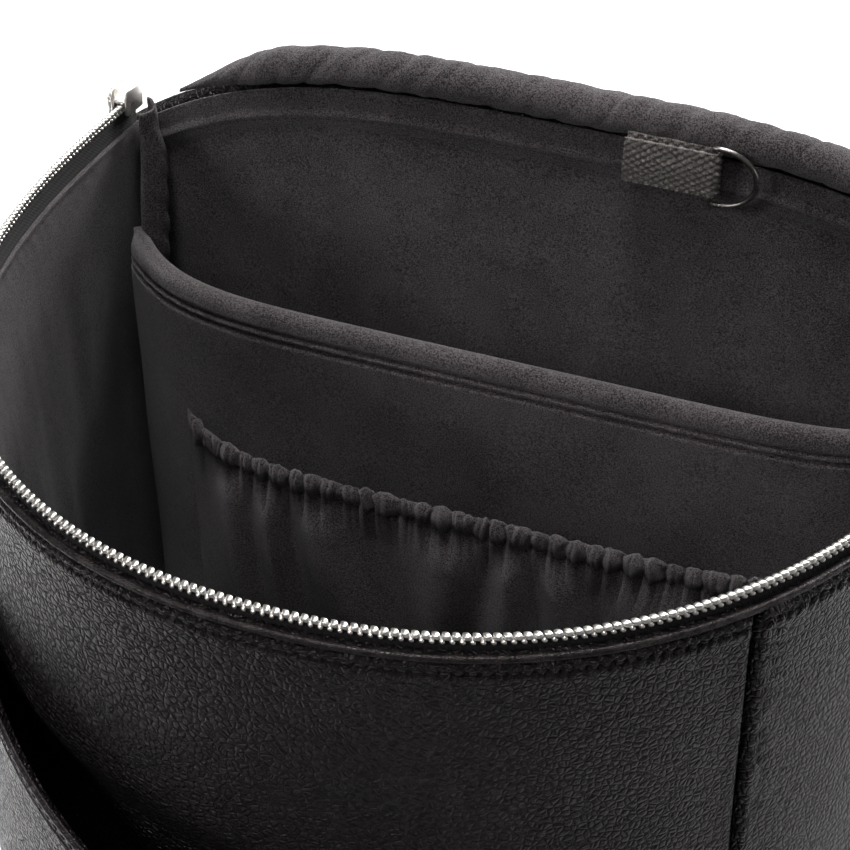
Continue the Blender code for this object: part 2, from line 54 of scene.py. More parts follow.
# ---------------------------------------------------------------- the CAD model's dimensions
MOUTH_HALF_WIDTH = 137.6 * MM
MOUTH_DEPTH = 222.0 * MM
BASE_HALF_WIDTH = 130.0 * MM
BASE_DEPTH = 196.0 * MM
REAR_Y = 75.0 * MM
MOUTH_REAR_Z = 400.0 * MM
MOUTH_SLOPE = 0.17
MOUTH_DIP = 3.4 * MM
TAPER_TOP = 300.0 * MM
MOUTH_ROUND = (2.18, 2.65)
BASE_ROUND = (2.9, 3.0)
SEAM_X = 97.8 * MM
WALL_OUT = 4.0 * MM  # outer face of the leather, outside the zip line
WALL_BOTTOM = 3.4 * MM
BACK_IN, BACK_OUT = 75.4 * MM, 85.0 * MM
CREST_Z, CREST_DROP, CREST_X = 420.8 * MM, 18.0 * MM, 120.0 * MM
ROLL_R, ROLL_HALF = 5.6 * MM, 122.0 * MM
LIP_Z, LIP_FALL, LIP_TURN = 358.0 * MM, 28.0 * MM, -30.0 * MM
POCKET_LOW, POCKET_RISE = 312.0 * MM, 67.5 * MM
POCKET_FOLD, POCKET_GAPE = 336.0 * MM, 12.0 * MM
DIVIDER_Y, DIVIDER_BOW, BOW_HALF, BOW_POWER = 29.5 * MM, 24.0 * MM, 131.0 * MM, 7
DIVIDER, DIVIDER_TOP, FLOOR_Z = 7.0 * MM, 366.0 * MM, 7.5 * MM
ELASTIC_Z = (186.0 * MM, 312.0 * MM, 318.4 * MM)
ELASTIC_HALF, ELASTIC_GAPE = 106.0 * MM, 11.0 * MM
HINGE = Vector((0.0, 90.0 * MM, 429.0 * MM))
LID_OPEN = radians(237.0)
LID_HEIGHT, LID_HALF, LID_REAR_Y = 20.0 * MM, 100.0 * MM, 68.0 * MM
LID_CORNER_Y, LID_CROWN, LID_THICK = 4.0 * MM, 7.0 * MM, 3.5 * MM
SLIDER_Y = 68.0 * MM
HANDLE_Y, HANDLE_Z = 92.6 * MM, 390.0 * MM
HANDLE_HALF, HANDLE_SAG = 40 * MM, 34 * MM
STRAP_TOP, STRAP_END = 349.0 * MM, 148.0 * MM
BUCKLE = Vector((97.0 * MM, 104.0 * MM, 134.0 * MM))
ANCHOR_X, ANCHOR_Z = 112 * MM, 26 * MM
LOOP_X, LOOP_Z, LOOP_Y = (20 * MM, 45.5 * MM), (411 * MM, 425 * MM), 68.0 * MM

# ---------------------------------------------------------------- the looks' own dimensions
ZIP_OFF = 0.4 * MM  # the teeth's middle line, outside the mouth's plain outline
TOOTH_PITCH = 2.2 * MM
FINE_STITCH = (2.8, 2.0, 0.24)  # pitch, length and radius in millimetres, in the lining
HEM_ROWS = (6.6 * MM, 9.4 * MM)  # the stitch lines' depths under the sleeve's top
FILL_FRAMES = 18  # frames of cloth simulation
PAD_SIZE, PAD_PLACE, PAD_CHANNEL = (84 * MM, 240 * MM), (57 * MM, 192 * MM), 40 * MM
STRAP_HALF, STRAP_THICK, STRAP_INSET = (29, 19), 8.0 * MM, 5.5 * MM
BELLY, BELLY_Z, BELLY_REACH = 5.2 * MM, 262 * MM, 88 * MM  # how the soft walls stand out
HANDLE_R = 4.1 * MM
HANDLE_DENT, DENT_FULL, DENT_END = 4.7 * MM, 46 * MM, 84 * MM  # the lid over the handle


# ---------------------------------------------------------------- the CAD model's surfaces
def mix(a, b, s):
    return a + (b - a) * s


def clamp(x, low=0.0, high=1.0):
    return min(max(x, low), high)


def smooth(a, b, x):
    s = clamp((x - a) / (b - a))
    return s * s * (3 - 2 * s)


def between(a, b, c, d, x):
    """0 up to a, 1 from b to c, and 0 again from d."""
    return smooth(a, b, x) * (1 - smooth(c, d, x))


def bell(x, width):
    return exp(-((x / width) ** 2))


# The same three for distances in metres, with their own numbers in millimetres.
def smooth_mm(a, b, x):
    return smooth(a * MM, b * MM, x)


def between_mm(a, b, c, d, x):
    return between(a * MM, b * MM, c * MM, d * MM, x)


def bell_mm(x, middle, width):
    return bell(x - middle * MM, width * MM)


def bent(x, power):
    """A power of x that keeps its sign."""
    return abs(x) ** power * (1 if x > 0 else -1)


def shoulder(x, reach):
    """A quarter circle: 0 at an edge, and 1 once x is past the reach."""
    return sqrt(clamp(1 - (1 - clamp(x / reach)) ** 2))


def in_mm(points):
    return [(a * MM, b * MM) for a, b in points]


def wall_size(z, off):
    """Half width, depth and the two powers of the wall's outline at a height."""
    s = 1.0 - (1.0 - clamp(z / TAPER_TOP)) ** 2
    return (
        mix(BASE_HALF_WIDTH, MOUTH_HALF_WIDTH, s) + off,
        mix(BASE_DEPTH, MOUTH_DEPTH, s) + off,
        mix(BASE_ROUND[0], MOUTH_ROUND[0], s),
        mix(BASE_ROUND[1], MOUTH_ROUND[1], s),
    )


def wall_point(t, z, off=0.0):
    """t is 0 at the left rear, pi/2 at the front and pi at the right rear."""
    half, depth, ex, ey = wall_size(z, off)
    c, s = cos(t), max(sin(t), 0.0)
    x = -half * bent(c, 2 / ex)
    return Vector((x, REAR_Y - depth * s ** (2 / ey), z))


def rim_z(t):
    p = wall_point(t, TAPER_TOP)
    forward = REAR_Y - p.y
    sag = MOUTH_DIP * (1 - (p.x / MOUTH_HALF_WIDTH) ** 2) * forward / MOUTH_DEPTH
    return MOUTH_REAR_Z + MOUTH_SLOPE * forward - sag


def rear_angle(y, z=TAPER_TOP, off=0.0):
    """The left wall's angle t at a place y."""
    _, depth, _, ey = wall_size(z, off)
    return asin(clamp((REAR_Y - y) / depth) ** (ey / 2))


def wall_half(y, z, off):
    half, depth, ex, ey = wall_size(z, off)
    return half * (1 - (max(REAR_Y - y, 0.0) / depth) ** ey) ** (1 / ex)


def crest(x):
    return CREST_DROP * (abs(x) / CREST_X) ** 3.4


def divider_y(x):
    return DIVIDER_Y + DIVIDER_BOW * (abs(x) / BOW_HALF) ** BOW_POWER


def lip_z(t):
    x = wall_point(t, TAPER_TOP).x
    return LIP_Z - LIP_FALL * (max(x - LIP_TURN, 0.0) / (SEAM_X - LIP_TURN)) ** 1.5


def pocket_edge(t):
    x = wall_point(t, TAPER_TOP).x
    return POCKET_LOW + POCKET_RISE * clamp((SEAM_X - x) / (2 * SEAM_X)) ** 2.2


def pocket_gape(p):
    s = min(p.z / POCKET_FOLD, 1.1)
    middle = max(1 - (p.x / SEAM_X) ** 2, 0.0)
    return 4.4 * MM + 1.5 * MM * s + POCKET_GAPE * middle * s**1.5


def lid_edge(u, off=0.0, rise=0.0):
    start = rear_angle(LID_CORNER_Y)
    t = mix(start, pi - start, u)
    return wall_point(t, rim_z(t) + rise, off)


def lid_point(u, v, off, drop):
    """The closed lid's top: v runs from the hinge edge to the zipped edge.

    It is flattened where it hangs over the carry handle.
    """
    hinge = Vector(((2 * u - 1) * LID_HALF, LID_REAR_Y, 440 * MM))
    p = hinge.lerp(lid_edge(u, off, LID_HEIGHT), v)
    p.z += LID_CROWN * sin(pi * v) * sin(pi * clamp(u)) ** 0.5 - drop
    flat = between(0.03, 0.13, 0.36, 0.58, v)
    p.z -= HANDLE_DENT * flat * (1 - smooth(DENT_FULL, DENT_END, abs(p.x)))
    return p


def belly(z):
    """The soft walls stand out most at about half their height."""
    return BELLY * bell(z - BELLY_Z, BELLY_REACH)


SEAM = acos((SEAM_X / MOUTH_HALF_WIDTH) ** (MOUTH_ROUND[0] / 2))
SEAM_GAP = 0.25 * MM / MOUTH_HALF_WIDTH
LID_TURN = (
    Matrix.Translation(HINGE) @ Matrix.Rotation(-LID_OPEN, 4, "X") @ Matrix.Translation(-HINGE)
)


# ---------------------------------------------------------------- shader helpers
class Shader:
    """A Principled material and short ways to wire procedural nodes to it."""

    def __init__(self, name, rough, metal=0.0, sheen=0.0, specular=0.5):
        self.mat = bpy.data.materials.new(name)
        self.mat.use_nodes = True
        self.tree = self.mat.node_tree
        self.out = self.tree.nodes["Principled BSDF"]
        self.out.inputs["Roughness"].default_value = rough
        self.out.inputs["Metallic"].default_value = metal
        self.out.inputs["Sheen Weight"].default_value = sheen
        self.out.inputs["Sheen Roughness"].default_value = 0.4
        self.out.inputs["Specular IOR Level"].default_value = specular
        if not metal:
            self.out.inputs["Specular Tint"].default_value = (1.0, 0.86, 0.885, 1.0)
        self.normal = None

    def node(self, kind, sockets=(), **props):
        n = self.tree.nodes.new(kind)
        for key, value in props.items():
            setattr(n, key, value)
        for key, value in dict(sockets).items():
            self.put(value, n.inputs[key])
        return n

    def put(self, value, socket):
        if isinstance(value, bpy.types.NodeSocket):
            self.tree.links.new(value, socket)
        else:
            socket.default_value = value

    def place(self, attribute=None):
        """Object coordinates, or a point attribute that was laid on the mesh."""
        if attribute:
            return self.node("ShaderNodeAttribute", attribute_name=attribute).outputs["Vector"]
        return self.node("ShaderNodeTexCoord").outputs["Object"]

    def stretch(self, vector, scale=(1, 1, 1), turn=(0, 0, 0)):
        n = self.node("ShaderNodeMapping", {"Vector": vector, "Scale": scale, "Rotation": turn})
        return n.outputs[0]

    def noise(self, vector, scale, detail=2.0, rough=0.5, warp=0.0):
        n = self.node("ShaderNodeTexNoise", {
            "Vector": vector, "Scale": scale, "Detail": detail, "Roughness": rough,
            "Distortion": warp})
        return n.outputs["Fac"]

    def cells(self, vector, scale, feature="F1", jitter=1.0):
        n = self.node("ShaderNodeTexVoronoi", feature=feature)
        for key, value in (("Vector", vector), ("Scale", scale), ("Randomness", jitter)):
            self.put(value, n.inputs[key])
        return n.outputs["Distance"]

    def wave(self, vector, scale, axis="X", warp=0.0):
        n = self.node("ShaderNodeTexWave", {"Vector": vector, "Scale": scale, "Distortion": warp},
                      bands_direction=axis)
        return n.outputs["Fac"]

    def math(self, operation, a, b=0.5):
        return self.node("ShaderNodeMath", {0: a, 1: b}, operation=operation).outputs[0]

    def add(self, *terms):
        """The sum of terms; a pair is a value and its weight."""
        total = None
        for term in terms:
            if isinstance(term, tuple):
                term = self.math("MULTIPLY", *term)
            total = term if total is None else self.math("ADD", total, term)
        return total

    def times(self, a, b):
        return self.math("MULTIPLY", a, b)

    def fit(self, value, low, high, to_low=0.0, to_high=1.0):
        n = self.node("ShaderNodeMapRange", {
            "Value": value, "From Min": low, "From Max": high, "To Min": to_low,
            "To Max": to_high})
        return n.outputs[0]

    def blend(self, fac, a, b):
        """A colour between two others; each is an RGB triple or a socket."""
        n = self.node("ShaderNodeMix", data_type="RGBA")
        self.put(fac, n.inputs["Factor"])
        for value, key in ((a, 6), (b, 7)):
            value = value if isinstance(value, bpy.types.NodeSocket) else (*value, 1.0)
            self.put(value, n.inputs[key])
        return n.outputs[2]

    def warp(self, vector, scale, amount):
        """The coordinates, pushed about by a noise."""
        n = self.node("ShaderNodeTexNoise", {"Vector": vector, "Scale": scale, "Detail": 2.0})
        kind = "ShaderNodeVectorMath"
        centred = self.node(kind, {0: n.outputs["Color"], 1: (0.5, 0.5, 0.5)},
                            operation="SUBTRACT")
        scaled = self.node(kind, {0: centred.outputs[0], "Scale": amount}, operation="SCALE")
        return self.node(kind, {0: vector, 1: scaled.outputs[0]}, operation="ADD").outputs[0]

    def bump(self, height, strength, distance):
        n = self.node("ShaderNodeBump", {
            "Height": height, "Strength": strength, "Distance": distance})
        if self.normal:
            self.put(self.normal, n.inputs["Normal"])
        self.normal = n.outputs[0]
        self.put(self.normal, self.out.inputs["Normal"])

    def colour(self, value):
        value = value if isinstance(value, bpy.types.NodeSocket) else (*value, 1.0)
        self.put(value, self.out.inputs["Base Color"])

    def rough(self, value):
        self.put(value, self.out.inputs["Roughness"])


def make_leather(name, dark, light, pebble=540.0, depth=0.85 * MM, rough_top=0.37):
    """Pebbled leather: rounded grains of about 2 mm, finer ones between, long soft creases."""
    s = Shader(name, 0.45, specular=0.30)
    here = s.warp(s.place(), 240.0, 0.0013)
    valley = s.fit(s.cells(here, pebble, "DISTANCE_TO_EDGE"), 0.0, 0.24)
    round_top = s.math("POWER", valley, 0.55)
    fine_at = s.warp(s.place(), 700.0, 0.0006)
    fine = s.fit(s.cells(fine_at, pebble * 1.9, "DISTANCE_TO_EDGE"), 0.0, 0.3)
    slant = s.stretch(s.place(), turn=(0.5, radians(38), 0.4))
    crease = s.noise(s.stretch(slant, (430.0, 430.0, 80.0)), 1.0, 3.0, 0.55)
    creases = s.fit(s.math("ABSOLUTE", s.math("SUBTRACT", crease, 0.5)), 0.0, 0.05)
    height = s.add((round_top, 0.80), (fine, 0.08), (creases, 0.12))
    cloud = s.noise(s.place(), 24.0, 3.0)
    patch = s.fit(s.noise(s.place(), 60.0, 2.0), 0.3, 0.75, 0.75, 1.0)
    s.bump(s.times(height, patch), 1.0, depth)
    s.bump(s.noise(s.place(), 5200.0, 2.0), 0.12, 0.04 * MM)
    edge = s.node("ShaderNodeAttribute", attribute_name="wear").outputs["Fac"]
    # The pebbles' tops are painted lighter and their valleys darker: painted shade in the
    # crevices. The cloud adds tone that differs at random.
    base = s.blend(s.times(round_top, s.fit(cloud, 0.3, 0.8)), dark, light)
    worn = s.times(edge, s.fit(s.noise(s.place(), 330.0, 3.0), 0.42, 0.66))
    s.colour(s.blend(worn, base, tuple(c * 2.2 for c in light)))
    shine = s.add(s.fit(valley, 0.0, 0.45), (cloud, 0.25))
    rough = s.fit(shine, 0.1, 1.2, rough_top + 0.26, rough_top)
    s.rough(s.math("SUBTRACT", rough, s.times(worn, 0.08)))
    return s.mat


def make_microfibre(name, dark, light, sheen):
    """Brushed lining: short nap with a cloudy lie and a fine irregular surface."""
    s = Shader(name, 0.92, sheen=sheen, specular=0.25)
    nap = s.noise(s.place(), 3200.0, 3.0, 0.7)
    cloud = s.noise(s.warp(s.place(), 40.0, 0.02), 45.0, 3.0, 0.55)
    flecks = s.noise(s.place(), 2100.0, 4.0, 0.8)
    lie = s.add((cloud, 0.12), (flecks, 0.88))
    s.colour(s.blend(s.fit(lie, 0.44, 0.57), dark, light))
    s.bump(s.add(nap, (flecks, 1.5)), 0.85, 0.42 * MM)
    s.rough(s.fit(nap, 0.3, 0.7, 0.82, 0.98))
    return s.mat


def make_tape(name, dark, light):
    """Woven zipper tape: narrow ribs along it, crossed by finer ones."""
    s = Shader(name, 0.78, sheen=0.15, specular=0.3)
    lay = s.place("lay")
    along = s.wave(lay, 420.0, "X", 0.6)
    slant = s.wave(s.stretch(lay, turn=(0, 0, radians(52))), 330.0, "X", 0.4)
    ribs = s.wave(lay, 150.0, "Y", 0.2)
    height = s.add((along, 0.35), (slant, 0.45), (ribs, 0.4))
    s.bump(height, 0.75, 0.16 * MM)
    # The colour follows the weave's height: ribs painted lighter and grooves darker, a painted
    # shade of the weave.
    s.colour(s.blend(s.fit(height, 0.3, 0.95), dark, light))
    return s.mat


def make_webbing(name, dark, light, rows=1.15 * MM):
    """Coarse plain weave: knots in a chequered order, with loose fibres."""
    s = Shader(name, 0.72, sheen=0.25, specular=0.35)
    lay = s.warp(s.place("lay"), 900.0, 0.00022)
    scale = 0.31416 / rows
    across = s.wave(lay, scale, "X")
    along = s.wave(lay, scale * 0.8, "Y")
    other = s.times(s.math("SUBTRACT", 1.0, across), s.math("SUBTRACT", 1.0, along))
    knots = s.math("POWER", s.add((across, along), other), 0.8)
    fibre = s.noise(s.stretch(lay, (4200, 900, 900)), 1.0, 3.0, 0.6)
    s.bump(s.add(knots, (fibre, 0.3)), 0.9, 0.34 * MM)
    # The knots are painted lighter and the gaps between them darker: painted highlight and shade
    # of the weave. The fibres add tone at random.
    lit = s.fit(s.times(knots, s.fit(fibre, 0.2, 0.6)), 0.2, 0.65)
    s.colour(s.blend(lit, dark, light))
    return s.mat


def make_air_mesh(name, dark, light):
    """Spacer mesh: a hexagonal net of round holes, painted near black inside them as painted
    shade.
    """
    s = Shader(name, 0.8, sheen=0.2, specular=0.3)
    lay = s.place("lay")
    holes = s.cells(s.stretch(lay, (1.0, 1.15, 0.0)), 340.0, "F1", jitter=0.12)
    net = s.fit(holes, 0.28, 0.46)
    strand = s.noise(s.stretch(lay, (3000, 3000, 0)), 1.0, 2.0)
    # The holes are painted dark, a painted shade inside them. The strands vary in tone at random.
    s.colour(s.blend(net, dark, s.blend(s.fit(strand, 0.3, 0.7), light,
                                        tuple(c * 0.6 for c in light))))
    s.bump(s.add(net, (strand, 0.2)), 0.9, 0.5 * MM)
    return s.mat


def make_metal(name, colour, rough):
    """Polished plated metal with fine scratches and a little tarnish in patches."""
    s = Shader(name, rough, metal=1.0)
    scratch = s.noise(s.stretch(s.place(), (900, 5200, 900), (0.3, 0.5, 0.8)), 1.0, 3.0, 0.7)
    patch = s.noise(s.place(), 300.0, 3.0)
    s.bump(scratch, 0.06, 0.05 * MM)
    s.rough(s.fit(s.add(scratch, patch), 0.6, 1.4, rough * 0.75, rough * 1.6))
    s.colour(s.blend(s.fit(patch, 0.35, 0.75), colour, tuple(c * 0.82 for c in colour)))
    return s.mat


def make_thread(name, dark, light):
    """Waxed twisted thread."""
    s = Shader(name, 0.5, sheen=0.1)
    twist = s.wave(s.stretch(s.place(), turn=(0.4, 0.7, 0.2)), 900.0)
    s.bump(twist, 0.5, 0.08 * MM)
    # The twist's ridges are painted lighter and its grooves darker: painted shade along the twist.
    s.colour(s.blend(twist, dark, light))
    return s.mat


def make_plastic(name, colour):
    s = Shader(name, 0.42, specular=0.5)
    grain = s.noise(s.place(), 2600.0, 3.0, 0.6)
    s.bump(grain, 0.18, 0.05 * MM)
    s.rough(s.fit(s.noise(s.place(), 120.0, 3.0), 0.3, 0.7, 0.34, 0.5))
    s.colour(s.blend(s.fit(grain, 0.3, 0.7), colour, tuple(c * 1.5 for c in colour)))
    return s.mat


def make_floor():
    s = Shader("pale_floor", 0.9, specular=0.1)
    s.colour(s.blend(s.noise(s.place(), 3.0, 2.0), (0.92, 0.92, 0.92), (0.95, 0.95, 0.95)))
    s.bump(s.noise(s.place(), 60.0, 3.0), 0.05, 0.5 * MM)
    return s.mat


LEATHER = make_leather("black_pebbled_leather", (0.0020, 0.0017, 0.0017),
                       (0.0105, 0.0090, 0.0092))
# The edges' leather is a lighter copy of the leather: its lighter colour is a painted highlight
# along the turned edges, bindings and piping.
EDGE = make_leather("leather_edges", (0.0060, 0.0054, 0.0054), (0.014, 0.0126, 0.0126), 900.0,
                    0.10 * MM, 0.28)
LINING = make_microfibre("charcoal_microfibre", (0.006, 0.0052, 0.0054),
                         (0.150, 0.1310, 0.1360), 0.30)
# A darker copy of the lining for the slip pocket's back: painted shade inside the pocket.
SHADED_POCKET_LINING = make_microfibre("pocket_lining_painted_shade", (0.016, 0.015, 0.015), (0.030, 0.028, 0.028),
                              0.15)
TAPE = make_tape("woven_zipper_tape", (0.0045, 0.0042, 0.0042), (0.022, 0.020, 0.020))
WEBBING = make_webbing("coarse_webbing", (0.022, 0.020, 0.019), (0.36, 0.33, 0.31))
BAND = make_webbing("strap_webbing", (0.006, 0.006, 0.006), (0.030, 0.029, 0.030), 0.9 * MM)
MESH = make_air_mesh("black_air_mesh", (0.003, 0.003, 0.003), (0.030, 0.030, 0.031))
NICKEL = make_metal("polished_nickel", (0.96, 0.93, 0.89), 0.30)
GUNMETAL = make_metal("dark_nickel", (0.30, 0.285, 0.27), 0.26)
THREAD = make_thread("black_thread", (0.010, 0.009, 0.009), (0.045, 0.042, 0.042))
PLASTIC = make_plastic("satin_plastic", (0.010, 0.010, 0.011))
BOARD = make_microfibre("stiffener_board", (0.07, 0.065, 0.06), (0.10, 0.09, 0.085), 0.0)


# ---------------------------------------------------------------- mesh helpers
def spaced(n):
    return [k / n for k in range(n + 1)]


def uneven(*stretches):
    """Positions from 0 to 1; each stretch is (share of the length, number of steps)."""
    total = sum(share for share, _ in stretches)
    out, start = [0.0], 0.0
    for share, steps in stretches:
        out += [(start + share * (k + 1) / steps) / total for k in range(steps)]
        start += share
    return out


def add_object(name, data):
    obj = bpy.data.objects.new(name, data)
    bpy.context.scene.collection.objects.link(obj)
    return obj


def shade_smooth(obj):
    for p in obj.data.polygons:
        p.use_smooth = True
    return obj


def link(name, mesh, *mats):
    for m in mats:
        mesh.materials.append(m)
    return shade_smooth(add_object(name, mesh))


def rework(mesh, *steps):
    """Runs each step on the mesh's bmesh, and then turns its faces outward."""
    bm = bmesh.new()
    bm.from_mesh(mesh)
    for step in steps:
        step(bm)
    bmesh.ops.recalc_face_normals(bm, faces=bm.faces)
    bm.to_mesh(mesh)
    bm.free()


def fill_holes(bm):
    bmesh.ops.holes_fill(bm, edges=[e for e in bm.edges if e.is_boundary], sides=0)


def from_faces(name, co, faces):
    mesh = bpy.data.meshes.new(name)
    mesh.from_pydata([list(p) for p in co], [], faces)
    return mesh


def ring_faces(start, rows, n):
    """Faces of a capped tube whose rings of n points follow each other from index start."""
    faces = []
    for r in range(rows - 1):
        for i in range(n):
            j, row = (i + 1) % n, start + r * n
            faces.append((row + i, row + j, row + n + j, row + n + i))
    faces.append([start + i for i in reversed(range(n))])
    faces.append([start + (rows - 1) * n + i for i in range(n)])
    return faces


def running_length(points, axis=0):
    """Distance along the points, from 0."""
    steps = np.linalg.norm(np.diff(points, axis=axis), axis=-1)
    start = np.zeros([1 if k == axis else size for k, size in enumerate(steps.shape)])
    return np.concatenate([start, np.cumsum(steps, axis=axis)], axis=axis)


def set_lay(mesh, rows):
    a = mesh.attributes.new("lay", "FLOAT_VECTOR", "POINT")
    a.data.foreach_set("vector", np.asarray(rows, np.float32).ravel())


def set_wear(mesh, values):
    a = mesh.attributes.new("wear", "FLOAT", "POINT")
    a.data.foreach_set("value", np.asarray(values, np.float32).ravel())


def net(name, point, us, vs, *mats, wear=0.0):
    """A mesh on point(u, v), with its arc lengths laid on it and its border marked as worn."""
    co = np.array([point(u, v)[:] for v in vs for u in us]).reshape(len(vs), len(us), 3)
    nu, nv = len(us), len(vs)
    index = np.arange(nu * nv).reshape(nv, nu)
    corners = (index[:-1, :-1], index[:-1, 1:], index[1:, 1:], index[1:, :-1])
    faces = np.stack(corners, axis=2).reshape(-1, 4).tolist()
    mesh = from_faces(name, co.reshape(-1, 3).tolist(), faces)
    along, across = running_length(co, 1), running_length(co, 0)
    set_lay(mesh, np.stack([along, across, np.zeros((nv, nu))], axis=2))
    border = np.minimum(across, across[-1:, :] - across)
    set_wear(mesh, wear * np.exp(-((border / (1.5 * MM)) ** 2)))
    return link(name, mesh, *mats)


def evaluated_mesh(obj):
    bpy.context.view_layer.update()
    evaluated = obj.evaluated_get(bpy.context.evaluated_depsgraph_get())
    return bpy.data.meshes.new_from_object(evaluated)


def settle(obj):
    """Applies the object's modifiers to its mesh."""
    mesh = evaluated_mesh(obj)
    obj.modifiers.clear()
    obj.data = mesh
    return obj


def thicken(obj, thick, offset=-1.0, bevel=0.0, back=None):
    """Gives a sheet its thickness; back is the material slot of its far side and rim."""
    solid = obj.modifiers.new("thickness", "SOLIDIFY")
    solid.thickness = thick
    solid.offset = offset
    if back is not None:
        solid.material_offset = back
        solid.material_offset_rim = back
    if bevel:
        edge = obj.modifiers.new("edges", "BEVEL")
        edge.width = bevel
        edge.segments = 2
        edge.limit_method = "ANGLE"
        edge.angle_limit = radians(55)
    return shade_smooth(settle(obj))


def sweep(name, frames, profile, *mats, closed=False, wear=0.0):
    """A closed profile carried along a path.  frames[k] maps a profile point to the world."""
    co = np.array([[f(a, b)[:] for a, b in profile] for f in frames])
    nf, n = len(frames), len(profile)
    faces = ring_faces(0, nf, n)
    if closed:  # the two caps give way to faces back to the first ring
        last = (nf - 1) * n
        faces[-2:] = [(last + i, last + (i + 1) % n, (i + 1) % n, i) for i in range(n)]
    mesh = from_faces(name, co.reshape(-1, 3).tolist(), faces)
    along, across = running_length(co, 0), running_length(co, 1)
    set_lay(mesh, np.stack([along, across, np.zeros((nf, n))], axis=2))
    set_wear(mesh, np.full(nf * n, wear))
    rework(mesh)
    return link(name, mesh, *mats)


def path_frames(points, up=None, closed=False):
    """Frames along a polyline: the profile's first axis lies across `up`, its second along."""
    n, frames = len(points), []
    normal = Vector(up) if up is not None else Vector((0, 0, 1))
    for k, p in enumerate(points):
        if closed:
            tangent = (points[(k + 1) % n] - points[k - 1]).normalized()
        else:
            tangent = (points[min(k + 1, n - 1)] - points[max(k - 1, 0)]).normalized()
        side = tangent.cross(normal)
        if side.length < 1e-4:
            side = tangent.orthogonal()
        side.normalize()
        above = side.cross(tangent).normalized()
        if up is None:
            normal = above
        frames.append(lambda a, b, p=p, s=side, h=above: p + s * a + h * b)
    return frames


def tube(name, points, radius, *mats, closed=False, n=12, up=None, wear=0.0):
    """radius may be a number or one number per point."""
    frames, size = path_frames(points, up, closed), radius
    if not isinstance(radius, (int, float)):
        frames = [(lambda a, b, f=f, r=r: f(a * r, b * r)) for f, r in zip(frames, radius)]
        size = 1.0
    circle = [(size * cos(2 * pi * k / n), size * sin(2 * pi * k / n)) for k in range(n)]
    return sweep(name, frames, circle, *mats, closed=closed, wear=wear)


def rounded(width, height, corner, steps=4, centre=(0.0, 0.0)):
    out = []
    for quarter, (i, j) in enumerate(((1, 1), (-1, 1), (-1, -1), (1, -1))):
        for k in range(steps + 1):
            a = (quarter + k / steps) * pi / 2
            out.append((
                centre[0] + i * (width / 2 - corner) + corner * cos(a),
                centre[1] + j * (height / 2 - corner) + corner * sin(a),
            ))
    return out


def plate(name, outline, thick, matrix, *mats, holes=(), bevel=0.4 * MM, segments=2):
    """A flat outline with holes, thickened and with rounded edges."""
    curve = bpy.data.curves.new(name, "CURVE")
    curve.dimensions = "2D"
    curve.fill_mode = "BOTH"
    curve.extrude = thick / 2 - bevel
    curve.bevel_depth = bevel
    curve.bevel_resolution = segments - 1
    curve.offset = -bevel
    for shape in (outline, *holes):
        spline = curve.splines.new("POLY")
        spline.points.add(len(shape) - 1)
        for place, p in zip(spline.points, shape):
            place.co = (p[0], p[1], 0.0, 1.0)
        spline.use_cyclic_u = True
    obj = add_object(name, curve)
    mesh = evaluated_mesh(obj)
    bpy.data.objects.remove(obj, do_unlink=True)
    rework(mesh, lambda bm: bmesh.ops.remove_doubles(bm, verts=bm.verts, dist=1e-6))
    mesh.transform(matrix)
    mesh.materials.clear()
    made = link(name, mesh, *mats)
    for p in mesh.polygons:
        p.use_smooth = len(p.vertices) <= 4
    return made


def upright(x, y, z):
    return Matrix.Translation((x, y, z)) @ Matrix.Rotation(pi / 2, 4, "X")


def merged(name, parts):
    """Joins several meshes with the same materials into one object."""
    bm = bmesh.new()
    mats = []
    for part in parts:
        for m in part.data.materials:
            if m not in mats:
                mats.append(m)
    for part in parts:
        start = len(bm.faces)
        bm.from_mesh(part.data)
        bm.faces.ensure_lookup_table()
        order = [mats.index(m) for m in part.data.materials]
        for face in bm.faces[start:]:
            face.material_index = order[face.material_index] if order else 0
        bpy.data.objects.remove(part, do_unlink=True)
    mesh = bpy.data.meshes.new(name)
    bm.to_mesh(mesh)
    bm.free()
    return link(name, mesh, *mats)


def stitches(name, places, body, pitch=3.1, length=2.1, radius=0.28, sink=0.35):
    """A row of stitches along (point, normal) pairs; each dips into the leather at its ends.

    The pitch, length and radius are in millimetres.
    """
    pitch, length, radius = pitch * MM, length * MM, radius * MM
    pts = np.array([p[:] for p, _ in places])
    nor = np.array([n[:] for _, n in places])
    arc = running_length(pts)
    count = max(int(arc[-1] / pitch), 1)
    step = arc[-1] / count
    shape = ((-0.5, 0.45, -0.9), (-0.36, 0.9, 0.15), (0.0, 1.0, 0.55), (0.36, 0.9, 0.15),
             (0.5, 0.45, -0.9))
    co, faces = [], []
    sides = 6

    def at(s):
        p = np.array([np.interp(s, arc, pts[:, i]) for i in range(3)])
        n = np.array([np.interp(s, arc, nor[:, i]) for i in range(3)])
        return p, n / np.linalg.norm(n)

    for k in range(count):
        middle = (k + 0.5) * step
        base = len(co)
        ahead, _ = at(min(middle + 0.4 * MM, arc[-1]))
        behind, _ = at(max(middle - 0.4 * MM, 0.0))
        tangent = (ahead - behind) / np.linalg.norm(ahead - behind)
        for along, wide, high in shape:
            p, n = at(middle + along * length)
            side = np.cross(tangent, n)
            p = p + n * radius * (high - sink)
            for i in range(sides):
                a = 2 * pi * i / sides
                co.append(p + radius * wide * (cos(a) * side + sin(a) * n))
        faces += ring_faces(base, len(shape), sides)
    obj = link(name, from_faces(name, co, faces), THREAD)
    if body:
        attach(obj, body)
    return obj


